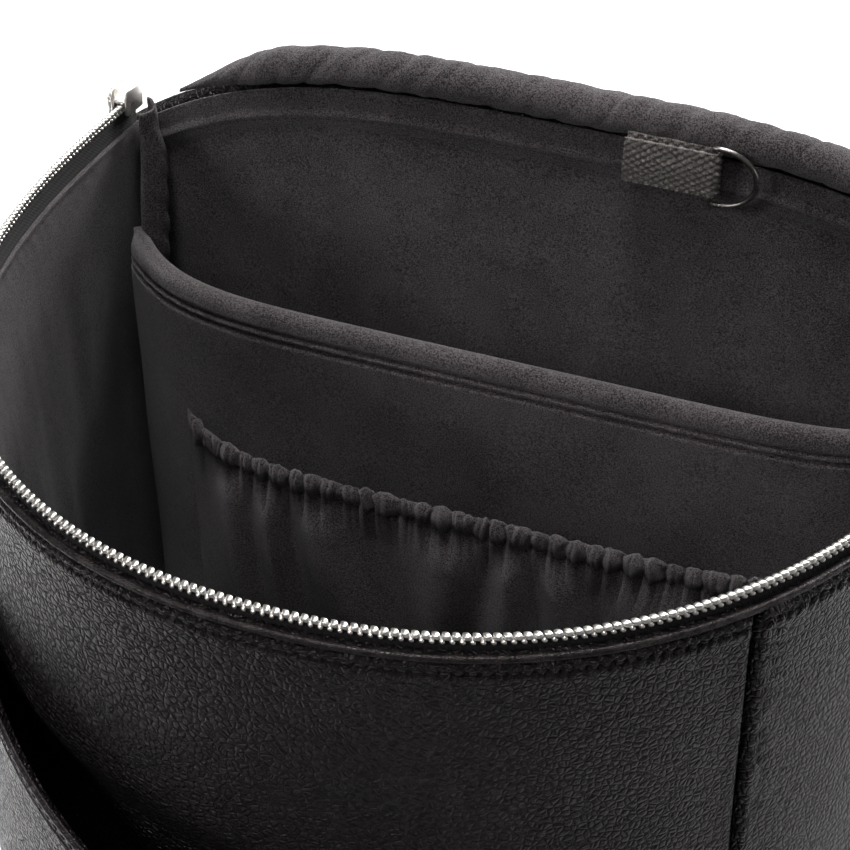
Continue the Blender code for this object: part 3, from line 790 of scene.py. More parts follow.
def on_surface(point, v, span=(0.0, 1.0), count=400, eps=0.002, flip=1.0):
    """(point, normal) pairs along point(u, v); v is a number or a function of u."""
    out = []
    for k in range(count + 1):
        u = mix(*span, k / count)
        w = v(u) if callable(v) else v
        du = point(min(u + eps, 1.0), w) - point(max(u - eps, 0.0), w)
        dv = point(u, min(w + eps, 1.0)) - point(u, max(w - eps, 0.0))
        out.append((point(u, w), du.cross(dv).normalized() * flip))
    return out


def fbm(x, y, z=0.0):
    """Smooth noise, about -1 to 1."""
    return noise.noise((x, y, z)) + 0.5 * noise.noise((2.1 * x + 7.3, 2.1 * y, 2.1 * z + 3.1))


def crumple(s, pitch, seed):
    """Irregular ridges along s: 1 on a ridge, 0 in the sharp valley between two."""
    warped = s / pitch + 0.45 * noise.noise((s / pitch * 0.7, seed, 0.0))
    return abs(sin(pi * warped)) ** 0.75


def stands_for(obj, slot, *replaced):
    if replaced:
        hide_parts(*replaced)


def ride(obj, body, slot, *replaced):
    stands_for(obj, slot, *replaced)
    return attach(obj, body)


def stretch_between(obj, side, slot, low, high, moving_end, *replaced):
    """A soft strap, kept where it was built: it hides the parts that it stands for and bakes its
    transform into its mesh.
    """
    stands_for(obj, slot, *replaced)
    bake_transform(obj)


def fill_out(obj, pinned, pressure):
    pins = obj.vertex_groups.new(name="pins")
    for index, weight in enumerate(pinned):
        if weight > 0:
            pins.add([index], weight, "REPLACE")
    cloth = obj.modifiers.new("filling", "CLOTH")
    settings = cloth.settings
    settings.quality = 5
    settings.mass = 0.3
    settings.tension_stiffness = settings.compression_stiffness = 12
    settings.shear_stiffness = 4
    settings.bending_stiffness = 0.4
    settings.air_damping = 4
    settings.effector_weights.gravity = 0
    settings.use_pressure = True
    settings.uniform_pressure_force = pressure
    settings.shrink_min = settings.shrink_max = -0.035
    settings.vertex_group_mass = "pins"
    cloth.collision_settings.use_collision = False
    cloth.point_cache.frame_start = 1
    cloth.point_cache.frame_end = FILL_FRAMES
    for number in range(1, FILL_FRAMES + 1):
        bpy.context.scene.frame_set(number)
    shade_smooth(settle(obj))
    bpy.context.scene.frame_set(1)


# ---------------------------------------------------------------- leather walls
def seam_distance(t, z, spans):
    """Distance along the wall to the nearest vertical seam."""
    p = wall_point(t, z)
    return min(abs((wall_point(s, z) - p).length) for s in spans)


def wall_relief(t, z, top, bottom, seams, side):
    """How far the leather's outer face stands off its plain shape."""
    p = wall_point(t, z)
    below = top - z
    # broad unevenness of the soft body
    out = 1.1 * MM * fbm(p.x * 14, p.y * 14, p.z * 10) * smooth_mm(0, 40, below)
    # the turned edge at the mouth, its stitching and the puckers round that
    out -= 0.8 * MM * bell_mm(below, 0.3, 0.8)
    out += 0.25 * MM * bell_mm(below, 1.9, 0.9)
    out -= 0.45 * MM * bell_mm(below, 3.4, 0.7)
    out += 0.35 * MM * bell_mm(below, 5.6, 2.2)
    arc = t * 150 * MM
    strong = 0.10 + smooth(1.65, 2.1, t) + (0.5 * smooth(0.9, 0.5, t) if side else 0.0)
    reach = 7.5 * MM + 3.0 * MM * noise.noise((arc * 160, 6.0, 0.0))
    fade = between(0.8 * MM, 2.4 * MM, 3.4 * MM, reach, below)
    lean = arc + 0.4 * below
    out += strong * 0.62 * MM * (crumple(lean, 3.0 * MM, 3.0) - 0.6) * fade
    # the vertical seams: the leather turns in, swells beside them and wrinkles
    for s in seams:
        d = (wall_point(s, z) - p).length
        out -= 2.2 * MM * bell_mm(d, 0, 0.95)
        out += 0.25 * MM * bell_mm(d, 2.6, 1.5)
        drift = 2 * MM * noise.noise((z * 90, s, d * 100))
        wrinkle = crumple(z + 0.5 * d + drift, 4.6 * MM, 9.0 + s)
        height, reach = (0.75 * MM, 12 * MM) if side else (0.2 * MM, 5 * MM)
        out += height * (wrinkle - 0.5) * between(1.4 * MM, 3.2 * MM, 4 * MM, reach, d)
    return out - 1.5 * MM * bell(z - bottom, 2.5 * MM)


def edged(columns):
    """Positions from 0 to 1, closer together at both ends where a seam turns in."""
    edge = [0.006 * k for k in range(9)]
    middle = [mix(0.048, 0.952, k / columns) for k in range(1, columns)]
    return edge + middle + [1 - e for e in reversed(edge)]


def wall_piece(name, t_span, low, high, seams, node, side=False, columns=230):
    def point(u, v):
        t = mix(t_span[0], t_span[1], u)
        top = high(t)
        z = mix(low(t), top, v)
        off = WALL_OUT + belly(z) + wall_relief(t, z, top, low(t), seams, side)
        if not side:
            # behind the slip pocket the leather draws in
            inward = (2.4 * MM + belly(z)) * smooth_mm(-3, 16, lip_z(t) - z)
            off -= inward * smooth(0.0, 26 * MM, seam_distance(t, z, seams))
        return wall_point(t, z, off)

    rows = uneven((0.04, 5), (0.83, 56), (0.09, 16), (0.04, 34))
    obj = net(name, point, edged(columns), rows, LEATHER, wear=0.5)
    thicken(obj, 2.6 * MM)
    ride(obj, "bag", "leather", node)
    return point


def make_walls():
    top = lambda t: rim_z(t) - 3.9 * MM
    bottom = lambda t: WALL_BOTTOM
    inner = (rear_angle(74.9 * MM), SEAM - SEAM_GAP)
    outer = (pi - inner[1], pi - inner[0])
    sides = [(name, wall_piece("side_leather_" + name, span, bottom, top, (seam,),
                               "side_panel_" + name, side=True))
             for name, span, seam in (("left", inner, inner[1]), ("right", outer, outer[0]))]
    front = (SEAM + SEAM_GAP, pi - SEAM - SEAM_GAP)
    behind = lambda t: lip_z(t) - 120 * MM
    upper = wall_piece("front_leather", front, behind, top, front, "front_upper_panel",
                       columns=560)

    def stitch_line(u):
        t = mix(*front, u)
        return 1 - 3.4 * MM / (top(t) - behind(t))

    stitches("front_rim_stitches", on_surface(upper, stitch_line, count=300), "bag")
    for name, point in sides:
        row = on_surface(point, 1 - 3.4 * MM / (395 * MM), count=160)
        stitches("side_rim_stitches_" + name, row, "bag")
    return front


def make_pocket(front):
    def point(u, v):
        t = mix(front[0], front[1], u)
        top = pocket_edge(t)
        z = mix(WALL_BOTTOM, top, v)
        p = wall_point(t, z)
        below = top - z
        off = pocket_gape(p) + 1.4 * MM
        off += 1.0 * MM * fbm(p.x * 13 + 5, p.y * 13, p.z * 9) * smooth_mm(0, 50, below)
        off += 0.35 * MM * bell_mm(below, 4.5, 2.5) - 0.45 * MM * bell(below - 1.9 * MM, MM)
        pucker = crumple(t * 150 * MM + 0.3 * below, 3.4 * MM, 21.0) - 0.5
        off += 0.16 * MM * pucker * between_mm(1.8, 3, 4, 11, below)
        for s in front:
            d = (wall_point(s, z) - p).length
            off -= 2.2 * MM * bell_mm(d, 0, 2.0)
            wrinkle = crumple(z + 0.4 * d, 4.4 * MM, 31.0 + s) - 0.5
            off += 0.22 * MM * wrinkle * between_mm(1.5, 3, 4, 12, d)
        off += belly(z) * (1 - smooth(70 * MM, 0.0, below) * 0.35)
        off -= 1.5 * MM * bell(z - WALL_BOTTOM, 2.5 * MM)
        return wall_point(t, z, off)

    obj = net("front_pocket_leather", point, edged(260),
              uneven((0.03, 4), (0.87, 40), (0.10, 26)), LEATHER, wear=0.5)
    thicken(obj, 2.5 * MM)
    ride(obj, "bag", "leather", "front_pocket_panel")

    steps = 200
    frames = []
    for k in range(steps + 1):
        t = mix(front[0], front[1], k / steps)
        z = pocket_edge(t)
        off = pocket_gape(wall_point(t, z)) + 0.65 * belly(z)
        # the bound edge follows the leather into both seams
        d = min((wall_point(s, z) - wall_point(t, z)).length for s in front)
        off -= 1.6 * MM * bell_mm(d, 0, 2.0)
        frames.append(lambda a, b, t=t, z=z, off=off: wall_point(t, z + b, off + a))
    profile = [(1.5, -4.2), (1.9, -3.7), (2.35, -3.2), (1.95, -2.7), (1.75, -2.0), (1.75, -0.2),
               (1.85, 0.7), (2.3, 1.3), (1.95, 1.9), (1.55, 2.3), (1.5, 2.7), (1.1, 3.1),
               (0.6, 2.7), (0.4, 1.5), (0.3, -1.5), (0.3, -4.0)]
    obj = sweep("front_pocket_edge", frames, [(a, b + 0.6 * MM) for a, b in in_mm(profile)],
                EDGE, wear=0.8)
    soften(obj)
    ride(obj, "bag", "leather", "front_pocket_binding")
    row = []
    for k in range(241):
        t = mix(front[0], front[1], mix(0.012, 0.988, k / 240))
        z = pocket_edge(t) - 0.75 * MM
        off = pocket_gape(wall_point(t, z)) + 0.65 * belly(z)
        p, q = wall_point(t, z, off + 1.78 * MM), wall_point(t, z, off + 4 * MM)
        row.append((p, (q - p).normalized()))
    stitches("front_pocket_stitches", row, "bag")

    def back(u, v):
        t = mix(front[0], front[1], u)
        z = mix(WALL_BOTTOM, lip_z(t) + 1.5 * MM, v)
        return wall_point(t, z, -0.9 * MM + 0.3 * MM * fbm(u * 12, v * 9))

    # The pocket's back takes the darker copy of the lining, a painted shade inside the pocket.
    obj = net("front_pocket_lining", back, spaced(80), spaced(40), SHADED_POCKET_LINING)
    thicken(obj, 1.0 * MM)
    ride(obj, "bag", "lining", "front_pocket_back")


def soften(obj):
    sub = obj.modifiers.new("soften", "SUBSURF")
    sub.levels = sub.render_levels = 1
    settle(obj)


# ---------------------------------------------------------------- the mouth
def rim_frames(start_y):
    """Frames along the mouth: a profile's first axis points outward and its second up."""
    ends = rear_angle(start_y)
    angles = [mix(ends, pi - ends, u) for u in spaced(420)]
    return [(lambda a, b, t=t: wall_point(t, rim_z(t) + b, a)) for t in angles]


def make_rim():
    profile = [(1.9, -6.0), (1.4, -4.7), (1.55, -3.8), (2.1, -3.15), (2.8, -2.85), (3.45, -3.0),
               (3.85, -3.45), (3.95, -4.0), (3.8, -4.45), (3.2, -4.8)]
    wavy = []
    for k, f in enumerate(rim_frames(74.2 * MM)):
        lift = 0.12 * MM * noise.noise((k * 0.21, 4.0, 0.0))
        wavy.append(lambda a, b, f=f, lift=lift: f(a + lift, b + lift))
    obj = sweep("rim_edge", wavy, in_mm(profile), EDGE, wear=0.9)
    soften(obj)
    ride(obj, "bag", "leather", "rim_binding")


def bead(across, height, along, centre, sides=10):
    """A rounded block: rings of (across, up, along) points in millimetres."""
    rings = []
    for c, scale in ((-1.0, 0.5), (-0.72, 0.9), (0.0, 1.0), (0.72, 0.9), (1.0, 0.5)):
        ring_at = []
        for k in range(sides):
            a = 2 * pi * (k + 0.5) / sides
            wide, tall = bent(cos(a), 0.6), bent(sin(a), 0.6)
            ring_at.append((across * scale * wide, centre + height * scale * tall, along * c))
        rings.append(ring_at)
    return rings


def make_teeth(name, line, body, node, sign=1.0, turn=None):
    """Teeth along line(u), with their heads up for sign 1 and down for -1."""
    us = np.linspace(0, 1, 601)
    arc = running_length(np.array([line(u)[:] for u in us]))
    count = int(arc[-1] / TOOTH_PITCH)
    step = arc[-1] / count

    def place(s, a, b, c):
        """The world point at arc length s, moved across, up and along the row."""
        u = float(np.interp(s, arc, us))
        p, q = line(max(u - 0.0005, 0)), line(min(u + 0.0005, 1))
        tangent = (q - p).normalized()
        side = tangent.cross(Vector((0, 0, 1))).normalized()
        up = side.cross(tangent)
        at = line(u) + side * a + up * b + tangent * c
        return turn @ at if turn else at

    head, leg = bead(0.98, 0.74, 0.86, 0.45), bead(1.12, 0.55, 0.60, -0.78, 8)
    co, faces = [], []
    for k in range(2 * count - 1):
        s = (k + 1) * step / 2
        rings = leg if k % 2 else head
        base, n = len(co), len(rings[0])
        for shape in rings:
            co += [place(s, a * MM, sign * b * MM, (c + 0.38 * a) * MM)[:] for a, b, c in shape]
        faces += ring_faces(base, len(rings), n)
    mesh = from_faces(name, co, faces)
    rework(mesh)
    ride(link(name, mesh, NICKEL), body, "nickel", node)


def make_body_zip():
    ends = rear_angle(71.0 * MM)
    angle = lambda u: mix(ends, pi - ends, u)
    line = lambda u: wall_point(angle(u), rim_z(angle(u)), ZIP_OFF)
    make_teeth("body_zip_teeth", line, "bag", "body_zip_chain")
    profile = [(0.0, -14.0), (-0.05, -8.0), (0.0, -2.6), (-0.25, -1.5), (0.0, -0.7), (0.4, -0.5),
               (0.8, -0.7), (1.05, -1.5), (0.85, -2.4), (1.15, -3.2), (1.3, -5.0), (0.8, -8.0),
               (0.75, -14.0)]
    obj = sweep("body_tape", rim_frames(72.4 * MM), in_mm(profile), TAPE)
    ride(obj, "bag", "webbing", "body_zip_tape")
    for name, side, t in (("left", -1, ends), ("right", 1, pi - ends)):
        p = wall_point(t, rim_z(t) - 0.4 * MM, ZIP_OFF) + Vector((0, 3.7 * MM, 0))
        stop = plate("zip_stop_metal_" + name, rounded(3.4 * MM, 2.2 * MM, 0.6 * MM), 3.4 * MM,
                     Matrix.Translation(p) @ Matrix.Rotation(side * 0.1, 4, "Z"), NICKEL)
        ride(stop, "bag", "nickel", "zip_stop_" + name)


# ---------------------------------------------------------------- inside
def make_body_lining():
    def point(u, v):
        guess = mix(FLOOR_Z, MOUTH_REAR_Z, v)
        start = rear_angle(73.0 * MM, guess, -1.0 * MM)
        t = mix(start, pi - start, u)
        top = rim_z(t) - 8.2 * MM
        z = mix(FLOOR_Z, top, v)
        below = top - z
        arc = t * 140 * MM
        fold = fbm(arc * 42, z * 4.5, 2.0) + 0.45 * fbm(arc * 105, z * 10, 5.0)
        fold = 0.5 + 0.5 * clamp(fold * 1.3, -1, 1)
        depth = 3.4 * MM * smooth_mm(6, 60, below) * smooth_mm(0, 60, z - FLOOR_Z)
        off = -0.6 * MM - depth * fold
        off -= 0.7 * MM * bell_mm(below, 0.7, 1.0)
        off += 0.5 * MM * bell_mm(below, 2.6, 0.8)
        pucker = crumple(arc + 0.3 * below, 3.6 * MM, 41.0) - 0.5
        off -= 0.5 * MM * pucker * between_mm(1.0, 3, 4, 14, below)
        edge = min(u, 1 - u) * pi * 140 * MM
        off = mix(off, -0.8 * MM, bell_mm(edge, 0, 8))
        return wall_point(t, z, off)

    obj = net("body_lining_cloth", point, spaced(420),
              uneven((0.6, 24), (0.28, 22), (0.12, 34)), LINING)
    thicken(obj, 0.8 * MM, offset=1.0)
    ride(obj, "bag", "lining", "body_lining")
    row = on_surface(point, 1 - 2.5 * MM / (405 * MM), (0.02, 0.98), 500, flip=-1.0)
    stitches("lining_hem_stitches", row, "bag", *FINE_STITCH)


def make_back_lining():
    def point(u, v):
        half = wall_size(CREST_Z, 0.0)[0]
        top = CREST_Z - 0.5 * MM - crest((2 * u - 1) * half)
        z = mix(FLOOR_Z, top, v)
        x = (2 * u - 1) * (wall_size(z, 0.0)[0] - 1.0 * MM)
        below = top - z
        y = 73.6 * MM
        y -= 1.6 * MM * bell_mm(below, 8.6, 1.5)
        y -= 0.9 * MM * bell_mm(below, 11.6, 1.0)
        y -= 0.5 * MM * (0.5 + 0.5 * fbm(x * 130, z * 130)) * between_mm(1, 4, 6, 9, below)
        fold = 0.5 + 0.5 * clamp(fbm(x * 26 + 3, z * 9) + 0.4 * fbm(x * 70, z * 30), -1, 1)
        y -= 2.0 * MM * fold * smooth_mm(12, 50, below)
        return Vector((x, y, z))

    obj = net("back_lining_cloth", point, spaced(220), uneven((0.7, 22), (0.2, 20), (0.1, 44)),
              LINING)
    thicken(obj, 0.7 * MM, offset=-1.0)
    ride(obj, "bag", "lining", "back_lining")
    row = on_surface(point, 1 - 10.3 * MM / (410 * MM), (0.06, 0.94), 300)
    stitches("back_lining_stitches", row, "bag", *FINE_STITCH)


def divider_half(z):
    return wall_half(57 * MM, z, -6.4 * MM)


def divider_face(x, z, side):
    """Offset of the padded sleeve's face from its middle surface, on side -1 or +1."""
    below = DIVIDER_TOP - z
    half = DIVIDER / 2
    out = half * shoulder(below, 4.2 * MM)
    out += 0.7 * MM * smooth_mm(2, 9, below)
    # two rows of stitching under the hem
    for depth, strength in zip(HEM_ROWS, (1.0, 1.15)):
        out -= strength * MM * bell(below - depth, 0.9 * MM)
    near = bell_mm(below, 6.6, 3.2) + bell_mm(below, 10.4, 4.5)
    out += 0.28 * MM * (crumple(x + 0.2 * z, 4.6 * MM, 51.0 + side) - 0.5) * near
    soft = fbm(x * 22, z * 17, side * 3.0) + 0.35 * fbm(x * 60, z * 34, side * 5.0)
    out += 0.8 * MM * soft * smooth_mm(10, 30, below)
    foot = smooth_mm(0, 12, z - FLOOR_Z)
    return mix(half, out, foot) if below > 5 * MM else out


def make_divider():
    """The padded sleeve, laid as one cloth over its front, its top edge and its back."""
    turn = 1.3

    def place(u, z, side):
        x = divider_half(z) * sin((2 * u - 1) * turn) / sin(turn)
        slope = DIVIDER_BOW * BOW_POWER / BOW_HALF * (abs(x) / BOW_HALF) ** (BOW_POWER - 1)
        slope *= 1 if x > 0 else -1
        out = divider_face(x, z, side)
        end = smooth(0.0, 0.03, min(u, 1 - u))
        out = mix(1.2 * MM, out, end)
        n = Vector((-slope, 1.0, 0.0)).normalized() * side
        return Vector((x, divider_y(x), z)) + n * out

    low = FLOOR_Z + 0.8 * MM
    heights = [mix(low, DIVIDER_TOP - 16 * MM, k / 34) for k in range(34)]
    heights += [mix(DIVIDER_TOP - 16 * MM, DIVIDER_TOP - 3 * MM, k / 40) for k in range(40)]
    heights += [DIVIDER_TOP - 3 * MM * (1 - sin(k / 9 * pi / 2)) for k in range(9)]
    rows = [(z, -1) for z in heights] + [(DIVIDER_TOP, -1)] + [(z, 1) for z in reversed(heights)]
    last = len(rows) - 1
    obj = net("sleeve_padding", lambda u, v: place(u, *rows[round(v * last)]), spaced(260),
              spaced(last), LINING)
    rework(obj.data, fill_holes, lambda bm: bmesh.ops.triangulate(
        bm, faces=[f for f in bm.faces if len(f.verts) > 4]))
    ride(obj, "bag", "lining", "divider")
    parts = []
    for side in (-1, 1):
        for depth in HEM_ROWS:
            row = []
            for k in range(361):
                u = mix(0.03, 0.97, k / 360)
                a, p, b = (place(u + du, DIVIDER_TOP - depth, side) for du in (-0.004, 0, 0.004))
                row.append((p, (b - a).cross(Vector((0, 0, 1))).normalized() * -side))
            parts.append(stitches("row", row, None, 2.9, 2.1, 0.26))
    ride(merged("sleeve_stitches", parts), "bag", "lining")


def make_gussets():
    """Soft strips at the rear corners, creased slantwise, that close the sleeve's sides."""
    for name, side in (("left", -1), ("right", 1)):
        def point(u, v, side=side):
            z = mix(FLOOR_Z + 2 * MM, mix(399.0 * MM, 401.5 * MM, u), v)
            lean = smooth_mm(335, 402, z)
            y = mix(61.5 * MM + 5.0 * MM * lean, 71.2 * MM + 1.6 * MM * lean, u)
            swell = sin(pi * u) ** 0.6
            crease = crumple(z + 13 * MM * u, 10.0 * MM, 61.0 + side) - 0.4
            high = smooth_mm(300, 352, z) * (1 - 0.75 * smooth_mm(380, 402, z))
            off = -2.2 * MM - (2.0 + 4.6 * high + crease) * MM * swell
            off -= 0.5 * MM * fbm(z * 60, u * 3.0, side) + 2.0 * MM * lean
            t = rear_angle(min(y, 73.4 * MM), z, off)
            return wall_point(t if side < 0 else pi - t, z, off)

        obj = net("sleeve_gusset_" + name, point, spaced(26), spaced(260), LINING)
        thicken(obj, 0.9 * MM, offset=0.0)
        ride(obj, "bag", "lining", "divider_gusset_" + name)


def gather(x):
    """The elastic's gathers: 1 on a puff, 0 in a crease."""
    size = 0.62 + 0.55 * noise.noise((x * 95, 3.0, 0.0))
    return crumple(x, 6.0 * MM, 71.0) * size + 0.22 * crumple(x, 2.6 * MM, 75.0)


def elastic_base(x, v):
    edge = 1 - min(abs(x) / ELASTIC_HALF, 1.0) ** 6
    return divider_y(x) - DIVIDER / 2 - 1.0 * MM - ELASTIC_GAPE * v**1.5 * edge


def make_elastic_pocket():
    low, seam, top = ELASTIC_Z

    def cloth(u, v):
        x = (2 * u - 1) * ELASTIC_HALF
        z = mix(low, seam + 0.4 * MM, v)
        below = seam - z
        edge = 1 - abs(2 * u - 1) ** 8
        shift = x + 5 * MM * noise.noise((x * 30, z * 14, 1.0)) * smooth_mm(0, 30, below)
        tight = gather(shift)
        broad = 0.5 + 0.5 * sin(2 * pi * (x / (23 * MM) + 0.8 * noise.noise((x * 26, z * 8, 9.0))))
        spread = smooth_mm(1, 15, below)
        height = mix(2.4 * MM * tight, 4.8 * MM * broad, spread)
        height *= mix(1.0, 0.12, smooth_mm(25, 118, below))
        height += 6.5 * MM * sin(pi * clamp(below / (seam - low))) ** 0.8
        y = elastic_base(x, v) - 0.6 * MM - height * edge
        y += 0.6 * MM * bell_mm(below, 0, 0.8)
        return Vector((x, min(y, divider_y(x) - DIVIDER / 2 - 0.9 * MM), z))

    obj = net("gathered_pocket_cloth", cloth, spaced(400), uneven((0.7, 40), (0.3, 56)), LINING)
    thicken(obj, 0.7 * MM, offset=1.0)
    ride(obj, "bag", "lining", "elastic_pocket")

    middle = (seam + top) / 2
    rows = 16

    def casing(u, v):
        """A puffed casing round the elastic, pinched by the gathers."""
        x = (2 * u - 1) * ELASTIC_HALF
        g = gather(x)
        edge = smooth(0.0, 0.02, min(u, 1 - u))
        a = 2 * pi * v
        tall = (2.3 + 2.2 * g + 0.7 * noise.noise((x * 420, 8.0, 0.0))) * MM
        deep = mix(0.7, 0.5 + 2.4 * g, edge) * MM
        y = elastic_base(x, 1.0) - 1.2 * MM - 1.5 * MM * g
        kink = 0.9 * MM * noise.noise((x * 230, a * 0.9, 4.0))
        slip = 1.2 * MM * noise.noise((x * 200, a * 0.6, 2.0)) * edge
        return Vector((x + slip, y + (deep + kink) * sin(a),
                       middle + tall * bent(cos(a), 0.8) + 0.3 * MM * g))

    obj = net("gathered_casing", casing, spaced(760), spaced(rows)[:-1], LINING)
    close_tube(obj, 761, rows)
    ride(obj, "bag", "lining", "elastic_casing")


def close_tube(obj, nu, nv):
    """Joins a net's last row to its first and caps both ends."""
    def close(bm):
        bm.verts.ensure_lookup_table()
        last = (nv - 1) * nu
        for i in range(nu - 1):
            bm.faces.new([bm.verts[k] for k in (last + i, last + i + 1, i + 1, i)])
        bm.faces.new([bm.verts[j * nu] for j in range(nv)])
        bm.faces.new([bm.verts[j * nu + nu - 1] for j in reversed(range(nv))])

    rework(obj.data, close)
    shade_smooth(obj)


# ---------------------------------------------------------------- the fold over the back
def make_roll():
    rows = 40

    def point(u, v):
        x = mix(-ROLL_HALF - 1.5 * MM, ROLL_HALF + 1.5 * MM, u)
        end = min(u, 1 - u) * 2 * ROLL_HALF
        size = ROLL_R * mix(0.12, 1.0, smooth_mm(0, 36, end) ** 0.8)
        a = 2 * pi * v
        drift = 5 * MM * noise.noise((x * 50, v * 3, 7.0))
        wrinkle = crumple(x + 22 * MM * v + drift, 11 * MM, 81.0) - 0.5
        fine = (crumple(x + 26 * MM * v + drift, 4.6 * MM, 83.0) - 0.5) * (
            0.5 + 0.6 * noise.noise((x * 70, v * 4, 1.0)))
        r = size + (0.55 * MM * wrinkle + 0.42 * MM * fine) * (size / ROLL_R)
        r += 0.35 * MM * fbm(x * 45, cos(a), sin(a)) * (size / ROLL_R)
        z = CREST_Z + ROLL_R + 0.6 * MM - crest(x) - 0.6 * (ROLL_R - size)
        return Vector((x, 76 * MM + r * cos(a), z + r * sin(a)))

    obj = net("hinge_roll_padding", point, spaced(560), spaced(rows)[:-1], LINING)
    close_tube(obj, 561, rows)
    ride(obj, "bag", "lining", "hinge_roll")


def make_hinge_cloth():
    """Leather with its lining, from behind the roll to the lid's rear edge."""
    def point(u, v):
        x = (2 * u - 1) * (LID_HALF - 1 * MM)
        start = Vector((x, 80.6 * MM, CREST_Z + 2.6 * MM - crest(x)))
        end = LID_TURN @ lid_point(u, 0.004, 4.0 * MM, LID_THICK)
        p = start.lerp(end, v)
        p.y += 2.4 * MM * sin(pi * v)
        p.z += 1.2 * MM * sin(pi * v) + 0.5 * MM * fbm(x * 50, v * 3) * sin(pi * v)
        return p

    obj = net("lid_hinge_cloth", point, spaced(120), spaced(20), LINING, LEATHER)
    thicken(obj, 1.6 * MM, offset=1.0, back=1)
    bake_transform(obj)


def make_key_loop():
    r = 1.7 * MM
    mid = mix(*LOOP_X, 0.5)
    path = [(LOOP_X[0], r), (mid, r)]
    path += [(LOOP_X[1] + r * sin(a), r * cos(a)) for a in (pi * k / 10 for k in range(11))]
    path += [(mid, -r), (LOOP_X[0], -r)]
    pts = np.array(path)
    arc = running_length(pts)

    def point(u, v):
        s = u * arc[-1]
        x, y = np.interp(s, arc, pts[:, 0]), np.interp(s, arc, pts[:, 1])
        z = mix(*LOOP_Z, v)
        knot = sin(pi * s / (1.5 * MM)) * sin(pi * v * 14 * MM / (1.05 * MM))
        bulge = 0.42 * MM * knot * smooth(0, 0.04, min(v, 1 - v))
        side = 1 if u < 0.5 else -1
        lift = 1.3 * MM * smooth(0.5, 1.0, v)
        around = clamp((x - mid) / (LOOP_X[1] - mid))
        x += bulge * around * (1 if abs(y) < r * 0.9 else 0)
        return Vector((x, LOOP_Y + y + side * bulge + lift * 0.6, z))

    obj = net("key_loop_webbing", point, spaced(300), spaced(90), WEBBING)
    thicken(obj, 0.9 * MM, offset=0.0)
    ride(obj, "bag", "webbing", "key_loop")


def make_ring():
    low, high = LOOP_Z[0] - 2 * MM, LOOP_Z[1]
    mid, half = (low + high) / 2, (high - low) / 2 + 1.5 * MM
    pts = [Vector((LOOP_X[1], LOOP_Y, mid + half * (1 - 2 * k / 16))) for k in range(17)]
    for k in range(1, 32):
        a = -pi / 2 + pi * k / 32
        pts.append(Vector((LOOP_X[1] + 13 * MM * cos(a) ** 0.8, LOOP_Y, mid + half * sin(a))))
    obj = tube("key_ring_metal", pts, 0.85 * MM, GUNMETAL, closed=True, n=14, up=(0, 1, 0))
    ride(obj, "key_ring", "nickel", "key_ring")


# ---------------------------------------------------------------- sliders
def zip_frame(side):
    t = rear_angle(SLIDER_Y)
    t = t if side < 0 else pi - t
    place = wall_point(t, rim_z(t), ZIP_OFF)
    along = Vector((0, -1, MOUTH_SLOPE)).normalized() * side
    out = Vector((side, 0, 0))
    up = along.cross(out)
    return Matrix.Translation(place) @ Matrix((out, up, along)).transposed().to_4x4()


def make_slider(name, side):
    frame_at = zip_frame(side)
    parts = []
    # two shaped plates, narrower at the rear, joined by the web between the rows of teeth
    outline = [(-5.5, -2.0), (-4.4, -2.1), (4.6, -2.1), (5.5, -1.6), (5.5, 5.9), (4.6, 6.5),
               (-3.6, 6.2), (-5.5, 5.0)]
    for out in (2.3 * MM, -2.3 * MM):
        face = Matrix.Translation((out, 0, 0)) @ Matrix.Rotation(pi / 2, 4, "Y")
        parts.append(plate("part", in_mm([(a * side, b) for a, b in outline]), 1.1 * MM,
                           frame_at @ face @ Matrix.Scale(-1, 4, (1, 0, 0)), NICKEL,
                           bevel=0.35 * MM))
    web = Matrix.Translation((0, 2.2 * MM, 0)) @ Matrix.Rotation(pi / 2, 4, "X")
    parts.append(plate("part", rounded(4.4 * MM, 10.2 * MM, 1.2 * MM), 1.1 * MM, frame_at @ web,
                       NICKEL, bevel=0.3 * MM))
    # the bridge that holds the pull
    bridge = [(2.6, -3.4), (3.9, -3.3), (5.0, -2.4), (5.15, 0.0), (5.0, 2.4), (3.9, 3.3),
              (2.6, 3.4)]
    bridge = [frame_at @ (Vector((a, 1.5, b)) * MM) for a, b in bridge]
    parts.append(tube("part", bridge, 0.62 * MM, NICKEL, n=10, up=(0, 0, 1)))
    obj = merged("slider_" + name, parts)
    ride(obj, "slider_" + name, "nickel", "zip_slider_" + name)

    outline = [(-2.2, 1.6), (-1.3, 2.3), (1.3, 2.3), (2.2, 1.6), (2.1, -2.6), (1.5, -4.2),
               (1.7, -6.5), (2.3, -9.0), (2.3, -18.0), (1.8, -20.2), (0.8, -21.2), (-0.8, -21.2),
               (-1.8, -20.2), (-2.3, -18.0), (-2.3, -9.0), (-1.7, -6.5), (-1.5, -4.2),
               (-2.1, -2.6)]
    eye = rounded(2.7 * MM, 2.6 * MM, 0.9 * MM, centre=(0, -0.2 * MM))
    slot_hole = rounded(2.0 * MM, 5.4 * MM, 0.9 * MM, centre=(0, -14 * MM))
    turn = Matrix.Translation((5.1 * MM, 1.5 * MM, 0)) @ Matrix.Rotation(pi / 2, 4, "Y")
    pull = plate("pull_tab_" + name, in_mm(outline), 1.15 * MM,
                 frame_at @ turn, NICKEL, holes=(eye, slot_hole), bevel=0.35 * MM)
    ride(pull, "pull_" + name, "nickel", "zip_pull_" + name)


# ---------------------------------------------------------------- lid
def lid_made(obj, slot, *nodes):
    obj.data.transform(LID_TURN)
    return ride(obj, "lid", slot, *nodes)


